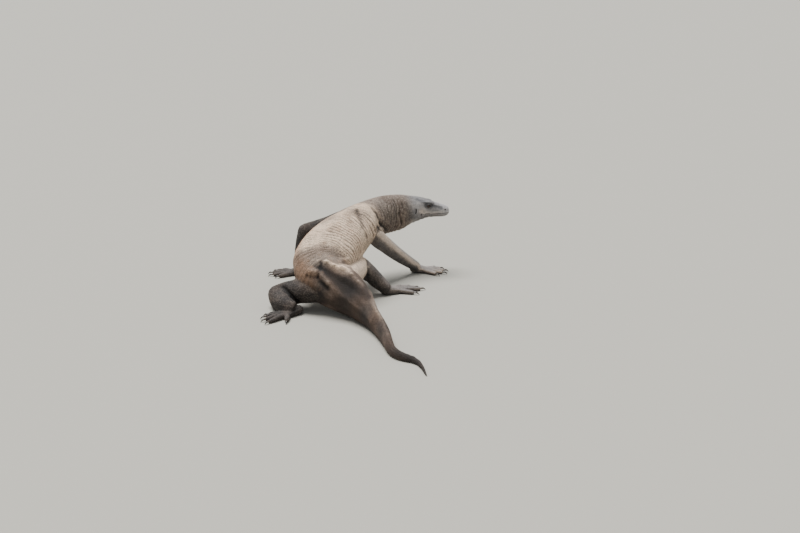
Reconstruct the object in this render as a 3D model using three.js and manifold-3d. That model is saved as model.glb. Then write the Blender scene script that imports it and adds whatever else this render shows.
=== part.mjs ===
// A life-size Komodo dragon (Varanus komodoensis) at rest on a flat floor, as a still model.
// Millimetres, +Z up, floor at z = 0. The animal lies in a C: the tail comes towards -Y, the
// trunk climbs towards +Y on its forelegs, and the neck and head turn towards +X.
import * as THREE from "three";
import { mergeVertices } from "three/addons/utils/BufferGeometryUtils.js";
import Module from "manifold-3d";

const wasm = await Module();
wasm.setup();

// ---------------------------------------------------------------- driving dimensions
const GAP = 0.6; // clear space between neighbouring solids
const RING = { trunk: 20, tail: 13, limb: 12, palm: 9, digit: 7, claw: 5, head: 18 };
const STEP = { trunk: 40, tail: 42, limb: 40, palm: 27, digit: 26, claw: 14, head: 20 };
const HEAD_LENGTH = 206; // nape to snout tip
const EYE_RADIUS = 9.5;
const FRONT_CLAW = 27; // length along the curve
const HIND_CLAW = 29;
const SIDES = { left: 1, right: -1 };
const EASE = 0.7; // how far the bends of a line are spread, in stations
const JOINT_CAP = [[0.55, 0.84], [0.9, 0.42]]; // [reach, size] of a limb's rounded end, in radii

// Plain colours: dark and pale hide, horn and eye.
const skinDark = new THREE.MeshStandardMaterial({ color: 0x4d443d, roughness: 0.85 });
const skinPale = new THREE.MeshStandardMaterial({ color: 0x85776a, roughness: 0.8 });
const hornMaterial = new THREE.MeshStandardMaterial({ color: 0x2a2623, roughness: 0.45 });
const eyeMaterial = new THREE.MeshStandardMaterial({ color: 0x2b1a0d, roughness: 0.1 });

// ---------------------------------------------------------------- stations
// Each station is the middle of a cross-section: at [x, y, z], half width, height above and
// depth below the middle, ridge (over 1 draws the top to a crest, under 1 squares it), keel
// (the same for the underside) and roll in degrees.
const station = (at, half, above, below, ridge = 1, keel = 1, roll = 0) => ({
  at, half, above, below, ridge, keel, roll,
});

// The backbone, nape to tail tip.
const SPINE = {
  nape: station([44, 708, 330], 58, 68, 80, 0.9, 1),
  neckFront: station([-4, 694, 328], 62, 78, 104, 1, 1.1),
  neckBack: station([-80, 636, 326], 70, 85, 108, 1.05, 1.15),
  shoulders: station([-166, 528, 322], 88, 84, 104, 1.05, 0.9),
  chest: station([-222, 428, 303], 116, 92, 112, 1.1, 0.8),
  ribs: station([-284, 320, 272], 138, 102, 122, 1.1, 0.8),
  belly: station([-330, 226, 234], 144, 108, 128, 1.05, 0.8),
  flank: station([-358, 150, 190], 138, 112, 118, 1.05, 0.8),
  loin: station([-342, 72, 156], 118, 108, 116, 1.2, 0.85),
  hips: station([-282, 12, 134], 88, 106, 118, 1.5, 0.9),
  vent: station([-222, -40, 112], 74, 108, 108, 1.6, 0.95),
  tailRoot: station([-167, -118, 88], 53, 88, 90, 1.5, 1.1),
  tailThick: station([-114, -245, 57], 30, 58, 62, 1.4, 1.1),
  tailMiddle: station([-69, -375, 45], 25, 42, 52, 1.3, 1.1),
  tailThin: station([-45, -500, 32], 19, 31, 38, 1.3, 1),
  tailBend: station([-27, -584, 23], 14, 22, 27, 1.2, 1),
  tailElbow: station([20, -624, 17], 12, 16, 20, 1.2, 1),
  tailWrist: station([66, -648, 14], 9, 13, 16.5, 1.1, 1),
  tailEnd: station([86, -708, 10], 7, 10, 12, 1.1, 1),
  tailTip: station([100, -790, 6], 4, 6, 7.5, 1, 1),
};

// Where the backbone is parted, front to back: node name and the station that ends it.
const SPINE_PARTS = [
  ["neck", "nape", "shoulders"],
  ["chest", "shoulders", "ribs"],
  ["belly", "ribs", "flank"],
  ["pelvis", "flank", "vent"],
  ["tail_1", "vent", "tailThick"],
  ["tail_2", "tailThick", "tailThin"],
  ["tail_3", "tailThin", "tailElbow"],
  ["tail_4", "tailElbow", "tailEnd"],
  ["tail_5", "tailEnd", "tailTip"],
];

// Limbs, trunk to wrist or ankle.
const LIMBS = {
  right_arm: {
    upper: "upper_arm_right", lower: "forearm_right", split: "elbow",
    stations: {
      root: station([-186, 496, 350], 32, 30, 34),
      shoulder: station([-142, 462, 280], 48, 46, 48),
      upper: station([-112, 486, 228], 43, 43, 43),
      elbow: station([-74, 536, 186], 39, 40, 38),
      lower: station([-12, 612, 114], 34, 37, 32),
      wrist: station([66, 682, 46], 27, 27, 28),
      palm: station([88, 695, 28], 26, 20, 22),
    },
  },
  left_arm: {
    upper: "upper_arm_left", lower: "forearm_left", split: "elbow",
    stations: {
      root: station([-215, 560, 318], 44, 40, 44),
      shoulder: station([-262, 578, 308], 48, 44, 48),
      upper: station([-372, 622, 260], 41, 40, 41),
      elbow: station([-470, 644, 228], 40, 38, 40),
      lower: station([-494, 650, 140], 34, 33, 34),
      wrist: station([-506, 648, 58], 26, 25, 25),
      palm: station([-506, 648, 28], 26, 18, 18),
    },
  },
  right_leg: {
    upper: "thigh_right", lower: "shin_right", split: "knee",
    stations: {
      root: station([-288, 18, 124], 46, 50, 50),
      hip: station([-240, 92, 136], 56, 58, 58),
      thigh: station([-206, 180, 150], 50, 54, 54),
      knee: station([-181, 262, 151], 42, 42, 44),
      shin: station([-132, 286, 98], 39, 40, 40),
      ankle: station([-82, 296, 46], 33, 32, 34),
      heel: station([-56, 300, 30], 30, 25, 27),
    },
  },
  left_leg: {
    upper: "thigh_left", lower: "shin_left", split: "knee",
    stations: {
      root: station([-320, 24, 118], 60, 62, 62),
      hip: station([-374, 26, 104], 60, 60, 60),
      thigh: station([-468, 66, 86], 54, 58, 56),
      knee: station([-556, 108, 58], 46, 47, 68),
      shin: station([-542, 36, 52], 42, 44, 62),
      ankle: station([-496, -20, 42], 35, 35, 44),
      heel: station([-472, -26, 32], 32, 29, 30),
    },
  },
};

// Feet: where the palm starts, the heading of the middle digit and the digits' plan.
// Each digit is [base across, spread in degrees, length, knuckle height].
const FRONT_DIGITS = [
  [-24, -48, 56, 17],
  [-13, -23, 78, 20],
  [0, -3, 88, 21],
  [13, 15, 82, 20],
  [23, 42, 60, 17],
];
const HIND_DIGITS = [
  [-26, -36, 50, 18],
  [-14, -17, 74, 21],
  [0, -2, 94, 23],
  [13, 11, 104, 22],
  [27, 50, 60, 18],
];
const FEET = {
  hand_right: { wrist: [84, 697, 24], heading: 2, palm: 68, half: 30, digits: FRONT_DIGITS, mirror: -1 },
  hand_left: { wrist: [-506, 648, 24], heading: 176, palm: 66, half: 30, digits: FRONT_DIGITS, mirror: 1 },
  foot_right: { wrist: [-60, 306, 26], heading: 33, palm: 88, half: 33, digits: HIND_DIGITS, mirror: -1 },
  foot_left: { wrist: [-466, -10, 26], heading: 221, palm: 88, half: 33, digits: HIND_DIGITS, mirror: 1 },
};


// The head, in its own frame: x from the nape to the snout, z up from the skull's axis.
const HEAD = {
  nape: station([-14, 0, 0], 58, 66, 80, 0.9, 0.95),
  jawJoint: station([22, 0, 2], 61, 63, 71, 0.85, 0.95),
  cheek: station([56, 0, 2], 57, 58, 57, 0.8, 0.95),
  eyes: station([90, 0, 0], 46, 52, 43, 0.72, 0.9),
  bridge: station([122, 0, -2], 39, 41, 37, 0.72, 0.85),
  muzzle: station([152, 0, -4], 36, 36, 33, 0.72, 0.8),
  nostrils: station([178, 0, -6], 33, 31, 30, 0.75, 0.8),
  lips: station([196, 0, -8], 26, 24, 24, 0.8, 0.85),
  snout: station([HEAD_LENGTH - 3, 0, -9], 15, 14, 14),
  tip: station([HEAD_LENGTH, 0, -9], 4, 4, 4),
};
const HEAD_HEADING = 9; // degrees from +X towards +Y
const HEAD_PITCH = 3; // degrees, nose down
const EYE_AT = [92, 42, 24];
const BROW = { at: [86, 29, 38], radii: [36, 15, 10], turn: -7 };
const JAW_MUSCLE = { at: [34, 36, -12], radii: [44, 27, 38], turn: -4 };
// The closed mouth from the side, snout to corner, then down behind the jaw.
const MOUTH_LINE = [[230, -11], [150, -14], [112, -18], [84, -15], [60, -18]];
const JAW_BACK = [[44, -40], [38, -90], [230, -90]];

// ---------------------------------------------------------------- shapes
const UP = new THREE.Vector3(0, 0, 1);
const rad = THREE.MathUtils.degToRad;

// A run of stations with a smooth line through them and smoothly changing sections.
class Chain {
  constructor(stations, reference = UP) {
    const list = Object.values(stations);
    const through = (pick, kind) =>
      new THREE.CatmullRomCurve3(list.map((s) => new THREE.Vector3(...pick(s))), false, kind, 0.4);
    this.names = Object.keys(stations);
    this.reference = reference;
    this.curve = through((s) => s.at, "centripetal");
    this.sizes = through((s) => [s.half, s.above, s.below], "catmullrom");
    this.forms = through((s) => [s.ridge, s.keel, s.roll], "catmullrom");
    this.span = 1 / (list.length - 1);
  }

  // The middle of the section at place t, with the bends at the stations eased.
  middle(t) {
    const reach = Math.min(EASE * this.span, t, 1 - t);
    return [1, 2, 2, 2, 1].reduce((sum, weight, i) =>
      sum.addScaledVector(this.curve.getPoint(t + reach * (i / 2 - 1)), weight / 8), new THREE.Vector3());
  }

  // The direction of the line at place t.
  ahead(t) {
    const near = 0.1 * this.span;
    const before = this.middle(Math.max(0, t - near));
    return this.middle(Math.min(1, t + near)).sub(before).normalize();
  }

  // The place of a named station along the line, 0 to 1.
  at(name) {
    return this.names.indexOf(name) / (this.names.length - 1);
  }

  // Length of the line between two places.
  length(from, to) {
    const samples = 24;
    const spots = Array.from({ length: samples + 1 }, (_, i) =>
      this.middle(from + ((to - from) * i) / samples));
    return spots.slice(1).reduce((sum, p, i) => sum + p.distanceTo(spots[i]), 0);
  }

  // A point of the section at place t, angle measured from its top; past either end of the
  // line the section is carried straight on.
  point(t, angle, outer, grow) {
    const place = THREE.MathUtils.clamp(t, 0, 1);
    const ahead = this.ahead(place);
    const [half, above, below] = this.sizes.getPoint(place).toArray();
    const [ridge, keel, roll] = this.forms.getPoint(place).toArray();
    const side = new THREE.Vector3().crossVectors(this.reference, ahead).normalize();
    const top = new THREE.Vector3().crossVectors(ahead, side).applyAxisAngle(ahead, rad(roll));
    side.applyAxisAngle(ahead, rad(roll));
    const upper = Math.cos(angle) > 0;
    const across = Math.sign(Math.sin(angle)) * Math.abs(Math.sin(angle)) ** (upper ? ridge : keel);
    const high = Math.cos(angle) * ((upper ? above : below) + grow);
    return this.middle(place)
      .addScaledVector(ahead, (t - place) * this.length(0, 1))
      .addScaledVector(side, outer ? across * (half + grow) : 0)
      .addScaledVector(top, outer ? high : 0);
  }

  // The closed solid between two places, its underside flat on the floor.
  solid(from, to, ring, step, { grow = 0, ends = grow, matrix = null } = {}) {
    const length = this.length(from, to);
    const rings = Math.max(2, Math.round(length / step));
    const trim = (-ends / length) * (to - from);
    const geometry = new THREE.CylinderGeometry(1, 1, 1, ring, rings);
    const spots = geometry.getAttribute("position");
    for (let i = 0; i < spots.count; i += 1) {
      const outer = Math.hypot(spots.getX(i), spots.getZ(i)) > 0.5;
      const angle = Math.atan2(spots.getX(i), spots.getZ(i));
      const share = 0.5 - spots.getY(i);
      const spot = this.point(from + trim + (to - from - 2 * trim) * share, angle, outer, grow);
      if (matrix) spot.applyMatrix4(matrix);
      spots.setXYZ(i, spot.x, spot.y, Math.max(spot.z, -grow));
    }
    return solidOf(geometry);
  }
}

// A three.js geometry as a manifold solid.
function solidOf(geometry) {
  const bare = geometry.clone();
  bare.deleteAttribute("normal");
  bare.deleteAttribute("uv");
  const merged = mergeVertices(bare, 1e-3);
  return new wasm.Manifold(new wasm.Mesh({
    numProp: 3,
    vertProperties: merged.getAttribute("position").array,
    triVerts: new Uint32Array(merged.index.array),
  }));
}

// The largest piece of a solid, without the slivers a cut can leave.
function largest(solid) {
  return solid.decompose().reduce((best, piece) => (piece.volume() > best.volume() ? piece : best));
}

// A solid as a named mesh.
function meshOf(name, solid, material) {
  const made = solid.getMesh();
  const spots = new Float32Array(made.numVert * 3);
  for (let i = 0; i < made.numVert; i += 1) {
    spots.set(made.vertProperties.subarray(i * made.numProp, i * made.numProp + 3), i * 3);
  }
  const geometry = new THREE.BufferGeometry();
  geometry.setAttribute("position", new THREE.BufferAttribute(spots, 3));
  geometry.setIndex(new THREE.BufferAttribute(made.triVerts, 1));
  geometry.computeVertexNormals();
  const mesh = new THREE.Mesh(geometry, material);
  mesh.name = name;
  return mesh;
}

// An ellipsoid in the head's frame, on one side of it.
function swelling({ at, radii, turn }, side, matrix) {
  const geometry = new THREE.SphereGeometry(1, 12, 8);
  geometry.scale(...radii);
  geometry.rotateZ(rad(turn * side));
  geometry.translate(at[0], at[1] * side, at[2]);
  geometry.applyMatrix4(matrix);
  return solidOf(geometry);
}

// ---------------------------------------------------------------- the animal
const dragon = new THREE.Group();
const solids = new Map(); // node name to its solid
const keepOut = new Map(); // node name to the same solid grown by the gap

// Adds a node: its solid with all of the named earlier nodes kept out of it.
function addNode(name, make, material, around = []) {
  const cut = (solid) => around.reduce((left, other) => left.subtract(keepOut.get(other)), solid);
  const solid = largest(cut(make(0)));
  solids.set(name, solid);
  keepOut.set(name, make(GAP));
  dragon.add(meshOf(name, solid, material));
}

function addBackbone() {
  const spine = new Chain(SPINE);
  SPINE_PARTS.forEach(([name, from, to], i) => {
    const kind = name.startsWith("tail") ? "tail" : "trunk";
    const material = kind === "tail" ? skinDark : skinPale;
    const neighbours = SPINE_PARTS.slice(Math.max(0, i - 1), i).map(([before]) => before);
    const make = (grow) => spine.solid(spine.at(from), spine.at(to), RING[kind], STEP[kind], { grow });
    addNode(name, make, material, neighbours);
  });
}

const TRUNK = ["neck", "chest", "belly", "pelvis", "tail_1"];

function addLimb({ upper, lower, split, stations }, reference) {
  const all = Object.entries(stations);
  const joint = all.findIndex(([name]) => name === split);
  const bend = stations[split];
  const before = new THREE.Vector3(...all[joint - 1][1].at);
  const ahead = new THREE.Vector3(...bend.at).sub(before).normalize();
  const cap = JOINT_CAP.map(([reach, size], i) => [`cap_${i}`, station(
    new THREE.Vector3(...bend.at).addScaledVector(ahead, reach * bend.half).toArray(),
    bend.half * size, bend.above * size, bend.below * size,
  )]);
  const near = new Chain(Object.fromEntries([...all.slice(0, joint + 1), ...cap]), reference);
  const far = new Chain(Object.fromEntries(all.slice(joint)), reference);
  addNode(upper, (grow) => near.solid(0, 1, RING.limb, STEP.limb, { grow }), skinDark, TRUNK);
  addNode(lower, (grow) => far.solid(0, 1, RING.limb, STEP.limb, { grow }), skinDark, [...TRUNK, upper]);
}

// One digit and the claw that grows from its end.
function digitChains(foot, [across, spread, length, knuckle], clawLength) {
  const turn = rad(foot.heading);
  const lay = (x, y, z) => [
    foot.wrist[0] + x * Math.cos(turn) - y * Math.sin(turn),
    foot.wrist[1] + x * Math.sin(turn) + y * Math.cos(turn),
    z,
  ];
  const way = rad(spread * foot.mirror);
  const along = (reach, z) => lay(
    foot.palm * 0.72 + reach * Math.cos(way), across * foot.mirror + reach * Math.sin(way), z);
  const digit = new Chain({
    base: station(along(-8, 14), 13.5, 12, 21),
    knuckle: station(along(length * 0.4, knuckle - 5), 12, 11, 20),
    pad: station(along(length * 0.78, 11.5), 11, 10, 18),
    end: station(along(length, 10.5), 8.5, 8.5, 14),
  });
  const claw = new Chain({
    root: station(along(length + GAP, 11), 5.2, 6.5, 6),
    bend: station(along(length + clawLength * 0.45, 14), 4, 5, 5),
    hook: station(along(length + clawLength * 0.8, 9.5), 2.6, 3.2, 3.2),
    tip: station(along(length + clawLength * 0.98, 1.6), 0.8, 0.9, 0.9),
  });
  return { digit, claw };
}

function addFoot(name, foot, shank, clawLength) {
  const turn = rad(foot.heading);
  const lay = (x, z) => [foot.wrist[0] + x * Math.cos(turn), foot.wrist[1] + x * Math.sin(turn), z];
  const palm = new Chain({
    back: station(lay(-34, 18), foot.half * 0.32, 9, 12),
    heel: station(lay(-22, 22), foot.half * 0.72, 18, 28),
    wrist: station(lay(0, 24), foot.half * 0.84, 22, 33),
    middle: station(lay(foot.palm * 0.5, 18), foot.half, 16, 26),
    knuckles: station(lay(foot.palm * 0.85, 14), foot.half * 1.04, 12, 22),
    webs: station(lay(foot.palm, 11), foot.half * 0.95, 8, 17),
  });
  const digits = foot.digits.map((plan) => digitChains(foot, plan, clawLength));
  addNode(name, (grow) => digits.reduce(
    (sum, { digit }) => sum.add(digit.solid(0, 1, RING.digit, STEP.digit, { grow })),
    palm.solid(0, 1, RING.palm, STEP.palm, { grow }),
  ), skinDark, shank);
  digits.forEach(({ claw }, i) => {
    addNode(`claw_${name}_${i + 1}`, (grow) => claw.solid(0, 1, RING.claw, STEP.claw, { grow }),
      hornMaterial, [name]);
  });
}

function addHead() {
  const nape = SPINE.nape.at;
  const placed = new THREE.Matrix4()
    .makeTranslation(...nape)
    .multiply(new THREE.Matrix4().makeRotationZ(rad(HEAD_HEADING)))
    .multiply(new THREE.Matrix4().makeRotationY(rad(HEAD_PITCH)));
  const skull = new Chain(HEAD);
  const spine = new Chain(SPINE);
  const collar = spine.solid(0, spine.at("shoulders"), RING.trunk, STEP.trunk, { grow: 30, ends: GAP });
  const sides = Object.values(SIDES);
  let whole = skull.solid(0, 1, RING.head, STEP.head, { matrix: placed });
  for (const side of sides) {
    whole = whole.add(swelling(BROW, side, placed)).add(swelling(JAW_MUSCLE, side, placed));
  }
  const eye = (side, grow) => {
    const ball = new THREE.SphereGeometry(EYE_RADIUS + grow, 12, 8);
    ball.translate(EYE_AT[0], EYE_AT[1] * side, EYE_AT[2]);
    return solidOf(ball.applyMatrix4(placed));
  };
  const belowMouth = (lift) => {
    const outline = new THREE.Shape([...MOUTH_LINE, ...JAW_BACK].map(([x, z], i) =>
      new THREE.Vector2(x - (i >= MOUTH_LINE.length - 1 ? lift : 0), z + lift)));
    const slab = new THREE.ExtrudeGeometry(outline, { depth: 200, bevelEnabled: false });
    slab.rotateX(Math.PI / 2).translate(0, 100, 0).applyMatrix4(placed);
    return solidOf(slab);
  };
  for (const side of sides) whole = whole.subtract(eye(side, GAP));
  whole = whole.subtract(collar);
  addNode("head", () => whole.subtract(belowMouth(GAP)), skinDark);
  addNode("jaw", () => whole.intersect(belowMouth(0)), skinDark);
  for (const [word, side] of Object.entries(SIDES)) {
    addNode(`eye_${word}`, (grow) => eye(side, grow), eyeMaterial);
  }
}

addBackbone();
addHead();
const FORWARD = new THREE.Vector3(0, 1, 0);
addLimb(LIMBS.right_arm, FORWARD);
addLimb(LIMBS.left_arm, FORWARD);
addLimb(LIMBS.right_leg);
addLimb(LIMBS.left_leg);
addFoot("hand_right", FEET.hand_right, ["forearm_right"], FRONT_CLAW);
addFoot("hand_left", FEET.hand_left, ["forearm_left"], FRONT_CLAW);
addFoot("foot_right", FEET.foot_right, ["shin_right"], HIND_CLAW);
addFoot("foot_left", FEET.foot_left, ["shin_left", "thigh_left"], HIND_CLAW);

// The origin is the middle of the footprint, on the floor.
const bounds = new THREE.Box3().setFromObject(dragon);
const centre = bounds.getCenter(new THREE.Vector3());
for (const mesh of dragon.children) mesh.geometry.translate(-centre.x, -centre.y, -bounds.min.z);

export default dragon;
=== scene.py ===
"""Looks of a life-size Komodo dragon: one sculpted skin, its bead scales, eyes, lids and claws."""
import logging
import math
from dataclasses import dataclass, field
from enum import Enum
from typing import Sequence

import bmesh
import bpy
import numpy as np
from mathutils import Matrix, Vector
from mathutils.bvhtree import BVHTree
from mathutils.kdtree import KDTree


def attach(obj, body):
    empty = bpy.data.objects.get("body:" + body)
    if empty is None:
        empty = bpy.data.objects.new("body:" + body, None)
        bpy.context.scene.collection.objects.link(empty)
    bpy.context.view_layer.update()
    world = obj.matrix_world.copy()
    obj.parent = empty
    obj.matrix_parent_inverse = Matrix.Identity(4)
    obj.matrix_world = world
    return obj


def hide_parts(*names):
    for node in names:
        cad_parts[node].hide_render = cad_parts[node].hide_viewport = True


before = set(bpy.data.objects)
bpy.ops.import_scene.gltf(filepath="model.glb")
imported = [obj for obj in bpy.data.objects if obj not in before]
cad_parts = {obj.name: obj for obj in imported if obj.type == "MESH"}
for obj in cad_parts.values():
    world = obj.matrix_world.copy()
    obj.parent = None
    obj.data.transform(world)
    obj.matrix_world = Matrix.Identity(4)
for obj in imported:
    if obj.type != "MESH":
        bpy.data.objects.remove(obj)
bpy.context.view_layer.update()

MM = 0.001
ORIGIN = np.array((0.21003, 0.00208, 0.0))  # from the drawing's frame to the model's
SEED = 11
MERGED = 1e-5  # corners of a body part closer than this are one, in metres
LEAST = 1e-12  # keeps a length from being divided by zero

log = logging.getLogger("dragon")


class Side(Enum):
    """A side of the head; the value is the sign of its across axis."""

    LEFT = 1
    RIGHT = -1


# ---------------------------------------------------------------- numbers
def unit(vectors: np.ndarray) -> np.ndarray:
    """Scales each row to length one.

    Args:
        vectors: Rows of three numbers.

    Returns:
        The rows, each of length one.
    """
    return vectors / np.maximum(np.linalg.norm(vectors, axis=-1, keepdims=True), LEAST)


def square_to(normals: np.ndarray, ways: np.ndarray) -> np.ndarray:
    """Turns each direction until it is square to its normal, with length one."""
    return unit(ways - (ways * normals).sum(axis=-1, keepdims=True) * normals)


def bell(distance: np.ndarray, width: float) -> np.ndarray:
    """Gives a smooth bump of height one that fades with distance."""
    return np.exp(-((distance / width) ** 2))


def ramp(values: np.ndarray, start: float, end: float) -> np.ndarray:
    """Rises smoothly from zero at start to one at end."""
    share = np.clip((values - start) / (end - start), 0.0, 1.0)
    return share * share * (3.0 - 2.0 * share)


def window(values: np.ndarray, low: float, high: float, soft: float) -> np.ndarray:
    """Is one between low and high and fades to zero over the soft width outside."""
    return ramp(values, low - soft, low) * (1.0 - ramp(values, high, high + soft))


def wobble(points: np.ndarray, size: float, seed: int) -> np.ndarray:
    """Makes a smooth irregular field from a few crossing waves.

    Args:
        points: Places, in metres.
        size: Length of the longest wave, in metres.
        seed: Choice of the waves.

    Returns:
        One number for each place, within about -1 to 1.
    """
    waves, shortest, rest, height = 7, 0.45, 0.55, 3.4
    chance = np.random.default_rng(seed)
    total = np.zeros(len(points))
    for _ in range(waves):
        way = unit(chance.normal(size=3))
        wave = size * (shortest + rest * chance.random())
        total += np.sin(points @ way * (2 * math.pi / wave) + chance.random() * 2 * math.pi)
    return total / height


# ---------------------------------------------------------------- centre lines
@dataclass
class Reading:
    """Where points lie on a centre line: metres along it, stations, degrees round it, its way ahead."""

    along: np.ndarray
    station: np.ndarray
    angle: np.ndarray
    ahead: np.ndarray


@dataclass
class Course:
    """A smooth centre line through places given in the drawing's millimetres."""

    places: Sequence[tuple[float, float, float]]
    steps: int = 14
    block: int = 40000
    most_slip: float = 0.02
    line: np.ndarray = field(init=False)
    marks: np.ndarray = field(init=False)
    lengths: np.ndarray = field(init=False)
    tangents: np.ndarray = field(init=False)

    def __post_init__(self) -> None:
        """Draws the line through its places."""
        spots = np.array(self.places) * MM + ORIGIN
        padded = np.vstack((2 * spots[0] - spots[1], spots, 2 * spots[-1] - spots[-2]))
        rows, marks = [], []
        for i in range(len(spots) - 1):
            before, start, end, after = padded[i:i + 4]
            for t in np.arange(self.steps) / self.steps:
                rows.append(0.5 * (2 * start + (end - before) * t
                                   + (2 * before - 5 * start + 4 * end - after) * t * t
                                   + (3 * start - before - 3 * end + after) * t ** 3))
                marks.append(i + t)
        self.line = np.vstack((rows, spots[-1:]))
        self.marks = np.array(marks + [len(spots) - 1.0])
        gaps = np.linalg.norm(np.diff(self.line, axis=0), axis=1)
        self.lengths = np.concatenate(([0.0], np.cumsum(gaps)))
        self.tangents = unit(np.gradient(self.line, axis=0))

    def read(self, points: np.ndarray) -> Reading:
        """Finds each point's place along and around the line, a block of points at a time.

        Args:
            points: Places, in metres.

        Returns:
            The reading; the angle is zero at the top and grows towards the animal's right.
        """
        near = np.empty(len(points), dtype=np.int64)
        half = (self.line ** 2).sum(axis=1) / 2
        for start in range(0, len(points), self.block):
            some = slice(start, start + self.block)
            near[some] = np.argmax(points[some] @ self.line.T - half, axis=1)
        ahead = self.tangents[near]
        offset = points - self.line[near]
        slip = np.clip((offset * ahead).sum(axis=1), -self.most_slip, self.most_slip)
        side = unit(np.cross(np.array((0.0, 0.0, 1.0)), ahead))
        top = np.cross(ahead, side)
        across, high = (offset * side).sum(axis=1), (offset * top).sum(axis=1)
        pace = np.gradient(self.marks, self.lengths)[near]
        angle = np.degrees(np.arctan2(across, high))
        return Reading(self.lengths[near] + slip, self.marks[near] + slip * pace, angle, ahead)


# nape 0, neck 1-2, shoulders 3, chest 4, ribs 5, belly 6, flank 7, loin 8, hips 9, vent 10,
# tail root 11, then down the tail to its tip at 19
BACKBONE = Course((
    (44, 708, 330), (-4, 694, 328), (-80, 636, 326), (-166, 528, 322), (-222, 428, 303),
    (-284, 320, 272), (-330, 226, 234), (-358, 150, 190), (-342, 72, 156), (-282, 12, 134),
    (-222, -40, 112), (-172, -118, 88), (-124, -245, 58), (-76, -375, 46), (-45, -500, 32),
    (-27, -584, 23), (20, -624, 17), (66, -648, 14), (86, -708, 10), (100, -790, 6)))
LIMBS = {
    "right_arm": Course(((-186, 496, 350), (-142, 462, 280), (-112, 486, 228), (-74, 536, 186),
                         (-20, 602, 114), (40, 662, 46), (80, 680, 22), (190, 680, 8))),
    "left_arm": Course(((-215, 560, 318), (-262, 578, 308), (-372, 622, 260), (-458, 648, 228),
                        (-480, 652, 140), (-498, 648, 58), (-530, 650, 22), (-640, 658, 8))),
    "right_leg": Course(((-288, 18, 124), (-240, 92, 136), (-206, 180, 150), (-181, 262, 151),
                         (-132, 286, 98), (-82, 296, 46), (-20, 332, 20), (110, 416, 8))),
    "left_leg": Course(((-320, 24, 118), (-374, 26, 104), (-468, 66, 86), (-556, 108, 58),
                        (-542, 36, 52), (-496, -20, 42), (-500, -40, 20), (-600, -126, 8))),
}
LIMB_NODES = {
    "right_arm": ("upper_arm_right", "forearm_right", "hand_right"),
    "left_arm": ("upper_arm_left", "forearm_left", "hand_left"),
    "right_leg": ("thigh_right", "shin_right", "foot_right"),
    "left_leg": ("thigh_left", "shin_left", "foot_left"),
}


@dataclass(frozen=True)
class HeadFrame:
    """The head's own axes: x from nape to snout, y to its left, z up, in millimetres."""

    nape: tuple[float, float, float] = (44, 708, 330)
    heading: float = 9.0
    pitch: float = 3.0

    def matrix(self) -> Matrix:
        """Gives the turn and place of the head.

        Returns:
            The matrix from the head's axes to the model's, both in metres.
        """
        place = Vector(np.array(self.nape) * MM + ORIGIN)
        turn = Matrix.Rotation(math.radians(self.heading), 4, "Z")
        nod = Matrix.Rotation(math.radians(self.pitch), 4, "Y")
        return Matrix.Translation(place) @ turn @ nod

    def local(self, points: np.ndarray) -> np.ndarray:
        """Turns places in metres into the head's millimetres."""
        inverse = np.array(self.matrix().inverted())
        return (points @ inverse[:3, :3].T + inverse[:3, 3]) / MM

    def world(self, spot: Sequence[float]) -> np.ndarray:
        """Turns one place in the head's millimetres into metres."""
        return np.array(self.matrix() @ Vector(np.array(spot) * MM))

    def way(self, direction: Sequence[float]) -> np.ndarray:
        """Turns a direction of the head into one of the model."""
        return unit(np.array(self.matrix().to_3x3() @ Vector(direction)))


HEAD = HeadFrame()


def folded(local: np.ndarray) -> np.ndarray:
    """Lays the head's right half over its left one, so that no y is below zero."""
    return np.column_stack((local[:, 0], np.abs(local[:, 1]), local[:, 2]))


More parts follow.
